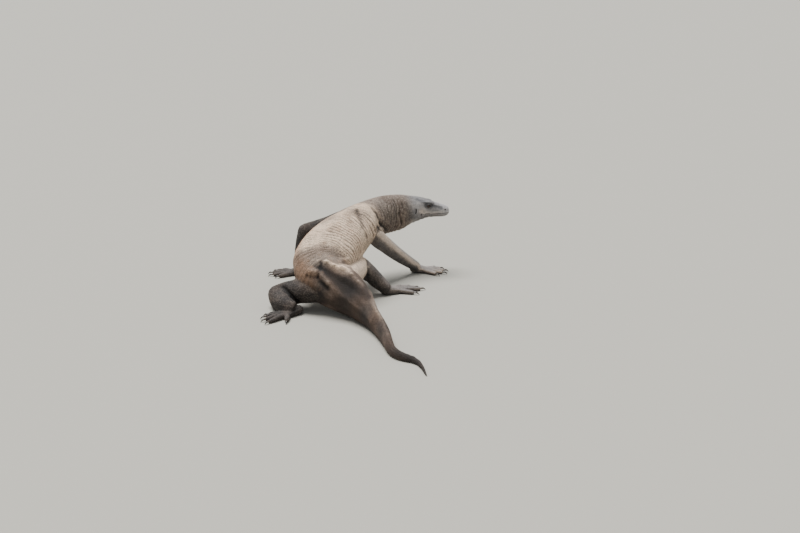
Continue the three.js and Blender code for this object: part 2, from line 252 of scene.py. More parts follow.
# ---------------------------------------------------------------- meshes as arrays
@dataclass
class Surface:
    """A mesh as arrays of points, triangles and edges."""

    points: np.ndarray
    triangles: np.ndarray
    edges: np.ndarray

    @classmethod
    def of(cls, mesh: bpy.types.Mesh) -> "Surface":
        """Reads a mesh.

        Args:
            mesh: The mesh.

        Returns:
            Its points, triangles and edges.
        """
        points = np.empty(len(mesh.vertices) * 3)
        mesh.vertices.foreach_get("co", points)
        mesh.calc_loop_triangles()
        triangles = np.empty(len(mesh.loop_triangles) * 3, dtype=np.int32)
        mesh.loop_triangles.foreach_get("vertices", triangles)
        edges = np.empty(len(mesh.edges) * 2, dtype=np.int32)
        mesh.edges.foreach_get("vertices", edges)
        return cls(points.reshape(-1, 3), triangles.reshape(-1, 3), edges.reshape(-1, 2))

    def normals(self) -> np.ndarray:
        """Gives the outward direction at each point.

        Returns:
            One row of length one for each point.
        """
        a, b, c = (self.points[self.triangles[:, k]] for k in range(3))
        faces = np.repeat(np.cross(b - a, c - a), 3, axis=0)
        owners, count = self.triangles.ravel(), len(self.points)
        return unit(np.stack([np.bincount(owners, faces[:, k], count) for k in range(3)], axis=1))

    def spread(self, values: np.ndarray) -> np.ndarray:
        """Gives the mean of each point's neighbours.

        Args:
            values: A number or a row of numbers for each point.

        Returns:
            The means, in the same form.
        """
        wide, size = values.reshape(len(values), -1), len(values)
        first, second = self.edges.T
        count = np.bincount(self.edges.ravel(), minlength=size)
        sums = [np.bincount(first, column[second], size) + np.bincount(second, column[first], size)
                for column in wide.T]
        return (np.stack(sums, axis=1) / np.maximum(count, 1)[:, None]).reshape(values.shape)

    def eased(self, values: np.ndarray, passes: int, share: np.ndarray | None = None) -> np.ndarray:
        """Spreads values over the surface.

        Args:
            values: Rows to spread.
            passes: How often.
            share: How far each row moves to its neighbours' mean in one pass; all the way without it.

        Returns:
            The eased rows.
        """
        share = np.ones(len(values)) if share is None else share
        amount = share.reshape((-1,) + (1,) * (values.ndim - 1))
        for _ in range(passes):
            values = values + amount * (self.spread(values) - values)
        return values

    def fair(self, blur: np.ndarray, passes: int) -> None:
        """Smooths the points without shrinking them.

        Args:
            blur: How far round each point to smooth, in metres.
            passes: How often.
        """
        most_share = 0.9
        first, second = self.edges.T
        pitch = float(np.median(np.linalg.norm(self.points[first] - self.points[second], axis=1)))
        share = np.clip(2 * blur ** 2 / (passes * pitch ** 2), 0.0, most_share)
        smooth = self.eased(self.points, passes, share)
        self.points = smooth + self.eased(self.points - smooth, passes, share)

    def write(self, mesh: bpy.types.Mesh) -> None:
        """Puts the points back into their mesh."""
        mesh.vertices.foreach_set("co", self.points.ravel())
        mesh.update()


def shade_smooth(mesh: bpy.types.Mesh) -> None:
    """Shades every face of a mesh smooth."""
    mesh.polygons.foreach_set("use_smooth", np.ones(len(mesh.polygons), dtype=bool))


def mesh_from(name: str, points: np.ndarray, triangles: np.ndarray) -> bpy.types.Mesh:
    """Makes a mesh of triangles from arrays.

    Args:
        name: The mesh's name.
        points: Its points.
        triangles: Three point numbers for each face.

    Returns:
        The new mesh, smooth shaded.
    """
    mesh = bpy.data.meshes.new(name)
    mesh.vertices.add(len(points))
    mesh.vertices.foreach_set("co", points.ravel())
    mesh.loops.add(triangles.size)
    mesh.loops.foreach_set("vertex_index", triangles.ravel())
    mesh.polygons.add(len(triangles))
    mesh.polygons.foreach_set("loop_start", np.arange(0, triangles.size, 3))
    shade_smooth(mesh)
    mesh.update(calc_edges=True)
    return mesh


def mesh_of(shape: bmesh.types.BMesh, name: str) -> bpy.types.Mesh:
    """Turns a finished shape into a mesh.

    Args:
        shape: The shape, which is freed.
        name: The mesh's name.

    Returns:
        The new mesh, smooth shaded.
    """
    mesh = bpy.data.meshes.new(name)
    shape.to_mesh(mesh)
    shape.free()
    shade_smooth(mesh)
    return mesh


def set_field(mesh: bpy.types.Mesh, name: str, values: np.ndarray) -> None:
    """Stores one number for each point of a mesh."""
    layer = mesh.attributes.new(name, "FLOAT", "POINT")
    layer.data.foreach_set("value", values.astype(np.float32))


def show(name: str, mesh: bpy.types.Mesh, material: bpy.types.Material) -> bpy.types.Object:
    """Puts a mesh in the scene.

    Args:
        name: The piece's name.
        mesh: Its mesh.
        material: Its one material.

    Returns:
        The piece.
    """
    piece = bpy.data.objects.new(name, mesh)
    bpy.context.scene.collection.objects.link(piece)
    mesh.materials.clear()
    mesh.materials.append(material)
    return piece


def applied(piece: bpy.types.Object) -> bpy.types.Mesh:
    """Gives a piece's mesh with its modifiers worked in."""
    graph = bpy.context.evaluated_depsgraph_get()
    return bpy.data.meshes.new_from_object(piece.evaluated_get(graph))


# ---------------------------------------------------------------- regions of the hide
class Region(Enum):
    """The regions of the hide, each with its own smoothing and beads."""

    HEAD = 0
    NECK = 1
    TRUNK = 2
    TAIL = 3
    LIMB = 4
    FOOT = 5


@dataclass(frozen=True)
class Zone:
    """How one region is finished; lengths in millimetres."""

    nodes: tuple[str, ...]
    blur: float
    spacing: float
    rise: float
    stretch: float


ZONES = {
    Region.HEAD: Zone(("head", "jaw"), 2.6, 3.3, 0.85, 1.1),
    Region.NECK: Zone(("neck",), 10.0, 4.1, 1.1, 1.15),
    Region.TRUNK: Zone(("chest", "belly", "pelvis"), 15.0, 4.7, 1.2, 1.2),
    Region.TAIL: Zone(("tail_",), 8.0, 4.2, 1.1, 1.5),
    Region.LIMB: Zone(("upper_arm_", "forearm_", "thigh_", "shin_"), 9.0, 4.2, 1.1, 1.15),
    Region.FOOT: Zone(("hand_", "foot_"), 3.0, 3.2, 0.8, 1.25),
}


@dataclass(frozen=True)
class Tone:
    """Base tones of a body part: dark brown, orange-brown and blue-grey, each 0 to 1. On some parts the dark
    brown is painted shade, and the blue-grey is partly a painted sheen.
    """

    dusk: float
    warm: float
    frost: float


# the jaw's deep tone is partly painted shade, and the left limbs' deep tones are painted shade
TONES = {
    "head": Tone(0.48, 0.0, 0.72), "jaw": Tone(0.74, 0.0, 0.50), "neck": Tone(0.53, 0.10, 0.06),
    "chest": Tone(0.16, 0.10, 0.0), "belly": Tone(0.03, 0.10, 0.0), "pelvis": Tone(0.40, 0.10, 0.0),
    "tail_1": Tone(0.86, 0.14, 0.0), "tail_2": Tone(0.92, 0.14, 0.0), "tail_3": Tone(0.90, 0.12, 0.0),
    "tail_4": Tone(0.95, 0.06, 0.0), "tail_5": Tone(1.0, 0.0, 0.0),
    "upper_arm_right": Tone(0.42, 0.0, 0.32), "forearm_right": Tone(0.60, 0.0, 0.28),
    "hand_right": Tone(0.74, 0.0, 0.12), "upper_arm_left": Tone(1.0, 0.0, 0.0),
    "forearm_left": Tone(1.0, 0.0, 0.05), "hand_left": Tone(0.86, 0.0, 0.10),
    "thigh_right": Tone(0.04, 0.0, 0.16), "shin_right": Tone(0.95, 0.0, 0.06),
    "foot_right": Tone(0.70, 0.0, 0.12), "thigh_left": Tone(1.0, 0.0, 0.0),
    "shin_left": Tone(1.0, 0.0, 0.0), "foot_left": Tone(0.98, 0.0, 0.05),
}


@dataclass(frozen=True)
class Stroke:
    """A ridge, or a crease where the height is negative, drawn on the hide in millimetres. Its shade darkens
    the hide along it and a negative shade pales it: painted shade in a crease or hollow, a painted highlight
    on a ridge or bump.
    """

    places: tuple[tuple[float, float, float], ...]
    height: float
    width: float
    # painted shade where above zero, painted highlight where below zero
    shade: float = 0.0

    def weight(self, points: np.ndarray) -> np.ndarray:
        """Says how much each point belongs to the stroke.

        Args:
            points: Places, in metres.

        Returns:
            One on the stroke's line, fading to zero beside it.
        """
        spots = np.array(self.places) * MM + ORIGIN
        nearest = np.full(len(points), np.inf)
        for start, end in zip(spots[:-1], spots[1:]):
            leg = end - start
            share = np.clip((points - start) @ leg / (leg @ leg), 0.0, 1.0)
            nearest = np.minimum(nearest, np.linalg.norm(points - start - share[:, None] * leg, axis=1))
        return bell(nearest, self.width * MM)


STROKES = (
    # shoulder blade and the folds round the arm's root, with painted shade in the folds and painted
    # highlights on the blade and ridges
    Stroke(((-164, 443, 388), (-150, 400, 362), (-134, 372, 327), (-124, 366, 290)), 13.0, 27.0, -0.14),
    Stroke(((-204, 405, 388), (-192, 342, 360), (-174, 293, 328), (-156, 284, 286)), -6.5, 13.0, 0.16),
    Stroke(((-132, 462, 384), (-103, 452, 343), (-92, 480, 300), (-104, 444, 276)), -5.5, 11.0, 0.16),
    Stroke(((-129, 360, 299), (-106, 431, 303), (-85, 471, 272)), -5.5, 8.0, 0.16),
    Stroke(((-99, 455, 315), (-79, 516, 280), (-66, 577, 247)), -7.0, 9.0, 0.22),
    Stroke(((-118, 425, 312), (-96, 476, 290), (-80, 530, 262)), 5.0, 8.0, -0.05),
    Stroke(((-74, 500, 330), (-56, 540, 296), (-44, 590, 262)), 4.0, 9.0, -0.05),
    # folds of the neck's side and throat, with painted shade in the folds and a painted highlight on one
    # ridge
    Stroke(((-8, 640, 352), (-4, 613, 328), (5, 628, 283), (0, 670, 250)), -4.4, 6.0, 0.10),
    Stroke(((8, 645, 350), (13, 617, 326), (20, 634, 284), (16, 672, 250)), 4.2, 7.0, -0.14),
    Stroke(((-37, 625, 390), (-22, 593, 336), (-15, 613, 279)), -3.0, 7.0, 0.10),
    Stroke(((30, 655, 365), (44, 652, 323), (46, 664, 286)), -3.0, 6.0, 0.10),
    Stroke(((-60, 565, 330), (-48, 575, 290), (-50, 610, 250)), -3.6, 8.0, 0.10),
    Stroke(((60, 708, 262), (84, 712, 270), (112, 718, 279)), 3.0, 18.0, 0.0),
    # sacral ridge and hip bones, with painted highlights on the ridge, its bumps, the hip bones and the tail
    # root's top, and painted shade in the hollow beside the ridge, in the creases and along the tail root's
    # lower left side
    Stroke(((-328, 4, 240), (-292, -17, 229), (-252, -37, 223), (-222, -63, 215),
            (-192, -107, 191), (-159, -143, 170)), 5.0, 11.0, -0.34),
    Stroke(((-327, 3, 241), (-321, 0, 239)), 9.0, 9.0, -0.16),
    Stroke(((-294, -18, 231), (-289, -20, 230)), 8.0, 7.5, -0.16),
    Stroke(((-256, -35, 225), (-240, -47, 222)), 8.0, 8.0, -0.26),
    Stroke(((-211, -80, 206), (-207, -84, 204)), 7.0, 7.5, -0.14),
    Stroke(((-180, -120, 184), (-176, -125, 181)), 6.0, 7.5, -0.14),
    Stroke(((-354, -14, 214), (-306, -48, 196), (-266, -82, 173), (-220, -122, 154)), -8.0, 25.0, 0.48),
    Stroke(((-398, -2, 198), (-355, -25, 202), (-316, -58, 166)), 10.0, 14.0, -0.34),
    Stroke(((-408, 2, 176), (-362, -30, 172), (-322, -66, 140)), -5.0, 12.0, 0.22),
    Stroke(((-234, 110, 212), (-226, 40, 222), (-222, -10, 222)), 8.0, 14.0, -0.16),
    Stroke(((-250, 60, 226), (-262, 10, 228)), -5.5, 13.0, 0.10),
    Stroke(((-261, 20, 234), (-258, 83, 228), (-239, 112, 227)), 4.0, 13.0, -0.16),
    Stroke(((-250, -88, 177), (-210, -126, 154), (-171, -168, 144), (-138, -198, 140)), -3.5, 17.0, 0.34),
    Stroke(((-303, -68, 161), (-256, -106, 122), (-213, -148, 101), (-163, -214, 85),
            (-124, -296, 63)), 3.5, 20.0, -0.36),
    Stroke(((-344, -40, 89), (-284, -74, 66), (-224, -122, 50), (-170, -202, 49),
            (-118, -303, 26)), 0.0, 22.0, 0.16),
    Stroke(((-351, 8, 237), (-353, -24, 206), (-363, -33, 181)), -4.5, 8.0, 0.20),
    Stroke(((-252, 93, 222), (-249, 96, 222)), 3.0, 9.0, -0.20),
    # thigh, knee and elbow, with painted shade in the creases and painted highlights on the ridges, most
    # along the right arm's top
    Stroke(((-230, 119, 222), (-195, 177, 217), (-165, 268, 186)), 3.5, 15.0, -0.10),
    Stroke(((-154, 262, 182), (-150, 215, 160), (-152, 236, 114), (-150, 272, 70)), -5.0, 10.0, 0.16),
    Stroke(((-536, 60, 112), (-514, 38, 103), (-486, 16, 83), (-457, 16, 55)), -7.0, 9.0, 0.25),
    Stroke(((-552, 76, 104), (-532, 40, 96), (-506, 6, 76)), 3.0, 12.0, -0.08),
    Stroke(((-92, 446, 252), (-38, 526, 190), (16, 594, 124), (74, 658, 60)), 3.0, 20.0, -0.30),
    Stroke(((-90, 520, 214), (-66, 512, 190), (-58, 530, 160)), 4.6, 14.0, -0.05),
    Stroke(((-150, 268, 160), (-118, 284, 112), (-76, 300, 66)), 3.0, 11.0, -0.10),
    # the tail's keel and its right shoulder, paled as painted highlights, and its dark end
    Stroke(((-119, -228, 126), (-99, -298, 102), (-67, -397, 83), (-48, -481, 66)), 2.0, 15.0, -0.14),
    Stroke(((-47, -530, 52), (-18, -602, 34), (23, -631, 29), (62, -666, 20), (84, -733, 8)),
           0.0, 24.0, 0.20),
    Stroke(((-131, -136, 143), (-114, -200, 126), (-102, -279, 111), (-74, -361, 90)), 5.0, 9.0, -0.26),
    Stroke(((-74, -361, 90), (-48, -504, 63), (-35, -558, 51), (-6, -601, 42), (60, -645, 30)),
           2.8, 7.0, -0.05),
)


@dataclass(frozen=True)
class Hide:
    """The hide worked out on a fine mesh: its body parts and regions, its beads' lie, its markings."""

    mesh: bpy.types.Mesh
    surface: Surface
    normals: np.ndarray
    nodes: np.ndarray
    regions: np.ndarray
    lie: np.ndarray
    marks: dict[str, np.ndarray]


@dataclass
class Tagger:
    """Finds which body part lies nearest to a point."""

    names: list[str]
    tree: BVHTree = field(init=False)
    owners: np.ndarray = field(init=False)

    def __post_init__(self) -> None:
        """Gathers the body parts' triangles in one search tree."""
        points, faces, owners, start = [], [], [], 0
        for number, name in enumerate(self.names):
            surface = Surface.of(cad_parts[name].data)
            points.extend(map(tuple, surface.points))
            faces.extend(map(tuple, surface.triangles + start))
            owners.extend([number] * len(surface.triangles))
            start += len(surface.points)
        self.tree = BVHTree.FromPolygons(points, faces, all_triangles=True)
        self.owners = np.array(owners)

    def tag(self, points: np.ndarray) -> np.ndarray:
        """Gives the number of the nearest body part for each point."""
        find = self.tree.find_nearest
        return self.owners[[find(point)[2] for point in points.tolist()]]


FLESH = [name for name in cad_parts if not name.startswith(("eye_", "claw_"))]
TAGGER = Tagger(FLESH)
HEAD_LINE = Course(((30, 706, 331), (140, 723, 325), (247, 740, 319)))


def region_of(name: str) -> Region:
    """Gives the region that a body part belongs to."""
    return next(region for region, zone in ZONES.items() if name.startswith(zone.nodes))


def course_of(name: str) -> Course:
    """Gives the centre line that a body part follows.

    Args:
        name: The body part.

    Returns:
        Its centre line.
    """
    if region_of(name) is Region.HEAD:
        return HEAD_LINE
    for limb, nodes in LIMB_NODES.items():
        if name in nodes:
            return LIMBS[limb]
    return BACKBONE


@dataclass(frozen=True)
class Face:
    """Where the head's features lie, and how far they rise or sink; millimetres in the head's axes."""

    mouth: tuple[tuple[float, float], ...] = ((60, -18), (84, -15), (112, -18), (150, -14), (230, -11))
    mouth_corner: tuple[float, float] = (56, -18)
    eye: tuple[float, float, float] = (92, 42, 24)
    nostril: tuple[float, float, float] = (181, 29, 4)
    nostril_stretch: float = 1.3
    ear: tuple[float, float, float] = (26, 62.8, -1)
    brow: tuple[tuple[float, float, float], ...] = (
        (20, 44, 32), (52, 42, 39), (76, 40, 42), (100, 38, 39), (124, 30, 29), (168, 22, 15))
    lip_groove: float = 2.4
    upper_lip: float = 1.0
    lower_lip: float = 0.8
    corner_pit: float = 1.8
    nostril_rim: float = 0.9
    nostril_pit: float = 4.2
    ear_flap: float = 1.6
    ear_slit: float = 5.0
    brow_ridge: float = 2.3
    socket_hollow: float = 2.2
    socket_rim: float = 1.5
    snout_hollow: float = 1.5
    cheek_swell: float = 1.6
    throat_fold: float = 1.0
    jowl_fold: float = 1.1
    crown_hollow: float = 0.9

    def lips(self, x: np.ndarray) -> np.ndarray:
        """Gives the height of the mouth's line along the head."""
        return np.interp(x, *np.array(self.mouth).T)

    def knob(self, local: np.ndarray, at: Sequence[float], reach: float, stretch: float = 1.0) -> np.ndarray:
        """Gives a bump on both sides of the head at a place along and up, longer than high by the stretch."""
        return bell(np.hypot((local[:, 0] - at[0]) / stretch, local[:, 2] - at[-1]), reach)

    def fine(self, local: np.ndarray, grown: float) -> np.ndarray:
        """Says which points of the head lie close to an eye, nostril, ear or the mouth.

        Args:
            local: Places in the head's axes.
            grown: How much wider to reach.

        Returns:
            True for each close point.
        """
        x, _, z = local.T
        near = (x > 52) & (np.abs(z - self.lips(x)) < 5 + grown)
        for spot, reach in ((self.eye, 19), (self.nostril, 9), (self.ear, 17)):
            near |= np.linalg.norm(folded(local) - spot, axis=1) < reach + grown
        return near

    def relief(self, local: np.ndarray) -> tuple[np.ndarray, np.ndarray]:
        """Works out lips, nostrils, brows, ears and the folds of cheek and throat.

        Args:
            local: Places in the head's axes.

        Returns:
            How far each place is raised, in metres, and how deep in a crease it lies, 0 to 1, which darkens
            it as painted shade.
        """
        x, y, z = folded(local).T
        # the mouth, softer at the tip of the snout
        lip = z - self.lips(x)
        along = ramp(x, 52, 66)
        tip = 1 - 0.5 * ramp(x, 192, 206)
        groove = bell(lip, 1.5) * along
        raised = -self.lip_groove * groove * tip + self.upper_lip * bell(lip - 5.5, 3.6) * along
        raised += self.lower_lip * bell(lip + 5.0, 3.4) * along
        corner = self.knob(local, self.mouth_corner, 5.0) * (y > 30)
        raised -= self.corner_pit * corner
        # the nostrils, a pit in a rim
        pit = self.knob(local, self.nostril, 3.1, self.nostril_stretch) * (y > 15)
        from_nostril = np.hypot((x - self.nostril[0]) / self.nostril_stretch, z - self.nostril[2])
        raised += self.nostril_rim * bell(from_nostril - 5.2, 1.9) * (y > 15) - self.nostril_pit * pit
        # the ears, a slanted slit behind a flap
        ear_x, ear_z = x - self.ear[0], z - self.ear[2]
        slit = bell(ear_x - 0.10 * ear_z - 1.5 * np.cos(ear_z / 7), 2.6) * window(z, -11, 8, 5) * (y > 30)
        flap = bell(ear_x - 8, 3.6) * window(z, -15, 12, 6) * (y > 30)
        raised += self.ear_flap * flap - self.ear_slit * slit
        # the brow ridges and the hollow round each eye
        brow_x, brow_y, brow_z = np.array(self.brow).T
        crest = bell(np.hypot(y - np.interp(x, brow_x, brow_y), z - np.interp(x, brow_x, brow_z)), 5.6)
        crest *= window(x, 40, 150, 22)
        raised += self.brow_ridge * crest
        socket = np.hypot((x - self.eye[0]) / 1.2, z - self.eye[2])
        raised -= self.socket_hollow * bell(socket - 15.5, 3.0) * (y > 24) * (1 - crest)
        raised += self.socket_rim * bell(socket - 11.5, 2.6) * (y > 24)
        # the snout's side, the cheek, the throat, the jowl's folds and the crown
        raised -= self.snout_hollow * self.knob(local, (128, 9), 12) * (y > 18)
        raised += self.cheek_swell * self.knob(local, (70, -2), 13) * (y > 30)
        throat = window(x, 4, 110, 25) * ramp(-z, 26, 44)
        raised += self.throat_fold * np.sin(x / 11 * math.pi) * throat
        jowl = window(x, 4, 48, 8) * window(z, -42, 4, 12) * (y > 34)
        raised += self.jowl_fold * (np.abs(np.sin((x + 0.3 * z) / 9.5 * math.pi)) - 0.6) * jowl * (1 - slit)
        raised -= self.crown_hollow * bell(y, 8) * window(x, 30, 150, 25) * (z > 0)
        return raised * MM, np.clip(groove + corner + pit + slit, 0, 1)


FACE = Face()


@dataclass(frozen=True)
class Band:
    """A darkening, paling or orange cast laid over part of the body: its reach in stations and degrees, each
    with its fade.
    """

    sides: tuple[int, ...]
    stations: tuple[float, float, float]
    degrees: tuple[float, float, float]
    dusk: float
    warm: float = 0.0

    def weight(self, spine: Reading) -> np.ndarray:
        """Says how much each point of a reading belongs to the band."""
        return sum(window(side * spine.angle, *self.degrees) for side in self.sides) * window(
            spine.station, *self.stations)


LEFT_SIDE, RIGHT_SIDE = -1, 1
BANDS = (
    # in this order: low on the left flank, its orange and a little darkening; painted shade under both sides
    # of the belly, on the left shoulder and left of the vent; painted light on the right flank
    Band((LEFT_SIDE,), (5.4, 8.2, 0.7), (66, 140, 28), 0.12, 0.50),
    Band((LEFT_SIDE, RIGHT_SIDE), (3.6, 8.6, 0.8), (115, 180, 30), 0.18),
    Band((LEFT_SIDE,), (2.6, 3.9, 1.3), (48, 120, 36), 0.50),
    Band((LEFT_SIDE,), (9.2, 11.6, 1.2), (44, 180, 30), 0.42),
    Band((RIGHT_SIDE,), (4.6, 8.4, 0.7), (62, 118, 20), -0.16),
)


@dataclass
class Markings:
    """The hide's colour fields: how dark brown, orange-brown and blue-grey each point is. The darkness
    carries painted shade and painted light as well as markings, and the blue-grey carries a painted sheen as
    well as the hide's own blue-grey.
    """

    surface: Surface
    names: np.ndarray
    normals: np.ndarray = field(init=False)
    dusk: np.ndarray = field(init=False)
    warm: np.ndarray = field(init=False)
    frost: np.ndarray = field(init=False)

    def __post_init__(self) -> None:
        """Starts from each body part's base tones, some of them painted shade, run into one another."""
        tones = {name: (tone.dusk, tone.warm, tone.frost) for name, tone in TONES.items()}
        base = np.array([tones[name] for name in self.names])
        self.dusk, self.warm, self.frost = self.surface.eased(base, 120).T
        self.normals = self.surface.normals()

    def paint_limb_light(self, limbs: np.ndarray) -> None:
        """Paints light and shade on the limbs: paler and with a blue-grey sheen where they face up and
        towards the light, darker where they face the floor; the left limbs, in shade, get little of the
        paling and sheen.

        Args:
            limbs: True for the points of the limbs.
        """
        arm = np.isin(self.names, LIMB_NODES["right_arm"])
        shaded = np.isin(self.names, LIMB_NODES["left_leg"] + LIMB_NODES["left_arm"])
        painted_light_share = self.surface.eased(limbs * np.where(shaded, 0.1, 1.0), 20)
        up = self.normals[:, 2]
        # the way the painted light comes from
        bright = ramp(self.normals @ unit(np.array((0.30, -0.45, 0.84))), 0.1, 0.75)
        # painted sheen on the dark limbs where they face up
        self.frost = self.frost + (0.35 * painted_light_share + 0.25 * arm) * ramp(up, 0.15, 0.9) * (self.dusk > 0.5)
        # painted light where the limbs face it, the right arm's the most, and painted shade where they face
        # down
        self.dusk = self.dusk - (0.20 * painted_light_share + 0.60 * arm) * bright + 0.30 * limbs * ramp(-up, -0.1, 0.7)

    def paint_head(self, local: np.ndarray, head: np.ndarray) -> None:
        """Pales the snout and the lips, pales the cheek as painted light, darkens the crown where it faces up
        as painted shade, and darkens a streak and round the eye, where the dark is partly painted shade under
        the brow.

        Args:
            local: Places in the head's millimetres.
            head: True for the points of the head and jaw.
        """
        x, y, z = folded(local).T
        snout = ramp(x, 120, 190)
        lip = window(z - FACE.lips(x), 3, 11, 4) * ramp(x, 54, 74)
        # the dark round the eye is a marking with painted shade under the brow in it
        round_eye = FACE.knob(local, (FACE.eye[0], FACE.eye[2] + 1), 10.5, 1.7) * (y > 20)
        # painted shade on the crown where it faces up
        crown = ramp(self.normals[:, 2], 0.55, 0.95) * window(x, -10, 118, 14)
        streak = bell(z - np.interp(x, (34, 80, 113, 157), (53, 38, 26, 13)), 6.5) * window(x, 32, 162, 14)
        # the cheek's paling is painted light
        cheek_painted_light, cheek_blue_grey_loss = FACE.knob(local, (56, -2), 17, 1.4), FACE.knob(local, (54, -1), 15, 1.5)
        dark = 1.1 * round_eye + 0.20 * crown + 0.40 * streak * (y > 12)
        self.dusk = self.dusk + head * (dark - 0.36 * snout - 0.34 * lip - 0.46 * cheek_painted_light)
        self.frost = (self.frost + head * 0.25 * snout) * (1 - head * (0.5 * round_eye + 0.35 * cheek_blue_grey_loss))

    def laid(self, spine: Reading, local: np.ndarray, raised: np.ndarray, crease: np.ndarray,
             shade: np.ndarray) -> dict[str, np.ndarray]:
        """Lays all the tones on, painted shade and light among them.

        Args:
            spine: The hide's reading along the backbone.
            local: Its places in the head's millimetres.
            raised: How far each point was raised, in metres.
            crease: How deep each lies in a drawn fold, which darkens it as painted shade.
            shade: The painted shade, and painted highlights where negative, that the strokes bring.

        Returns:
            The fields dusk, warm, frost, crease and fleck, each 0 to 1.
        """
        points, up = self.surface.points, self.normals[:, 2]
        limbs = np.isin(self.names, [name for nodes in LIMB_NODES.values() for name in nodes])
        neck, head = self.names == "neck", np.isin(self.names, ("head", "jaw"))
        body = ~limbs & ~neck & ~head
        trunk = window(spine.station, 3.6, 8.6, 0.8) * body
        for band in BANDS:
            weight = band.weight(spine) * body
            self.dusk = self.dusk + band.dusk * weight
            self.warm = self.warm + band.warm * weight
        self.paint_limb_light(limbs)
        self.paint_head(local, head)
        blotches = 0.10 * wobble(points, 0.13, 21) + 0.05 * wobble(points, 0.035, 22)
        # painted shade under the neck where it faces down, and the strokes' painted shade and highlights; the
        # blotches are the hide's own
        dusk = self.dusk + 0.06 * neck * ramp(-up, -0.3, 0.8) + shade + blotches
        warm_spots = 0.3 * ramp(wobble(points, 0.05, 24), 0.5, 1.1) * trunk
        warm = self.warm + 0.12 * wobble(points, 0.17, 23) + warm_spots
        # painted shade: darker in the sculpted hollows, in concave places and in the creases, more so on the
        # trunk
        hollow = 0.6 * np.clip(-raised / 0.006, 0, 1) * ~head
        sunk = self.surface.eased(((self.surface.spread(points) - points) * self.normals).sum(axis=1), 3)
        crease = crease * (1 + 0.3 * trunk) + hollow + 0.55 * np.clip(sunk / 0.0002, 0, 1)
        fleck = 0.9 * window(spine.station, 0.4, 3.0, 0.8) * (neck | body) + 0.25 * (limbs | head)
        marks = {"dusk": dusk, "warm": warm, "frost": self.frost, "crease": crease,
                 "fleck": self.surface.eased(fleck, 20)}
        return {name: np.clip(values, 0, 1) for name, values in marks.items()}


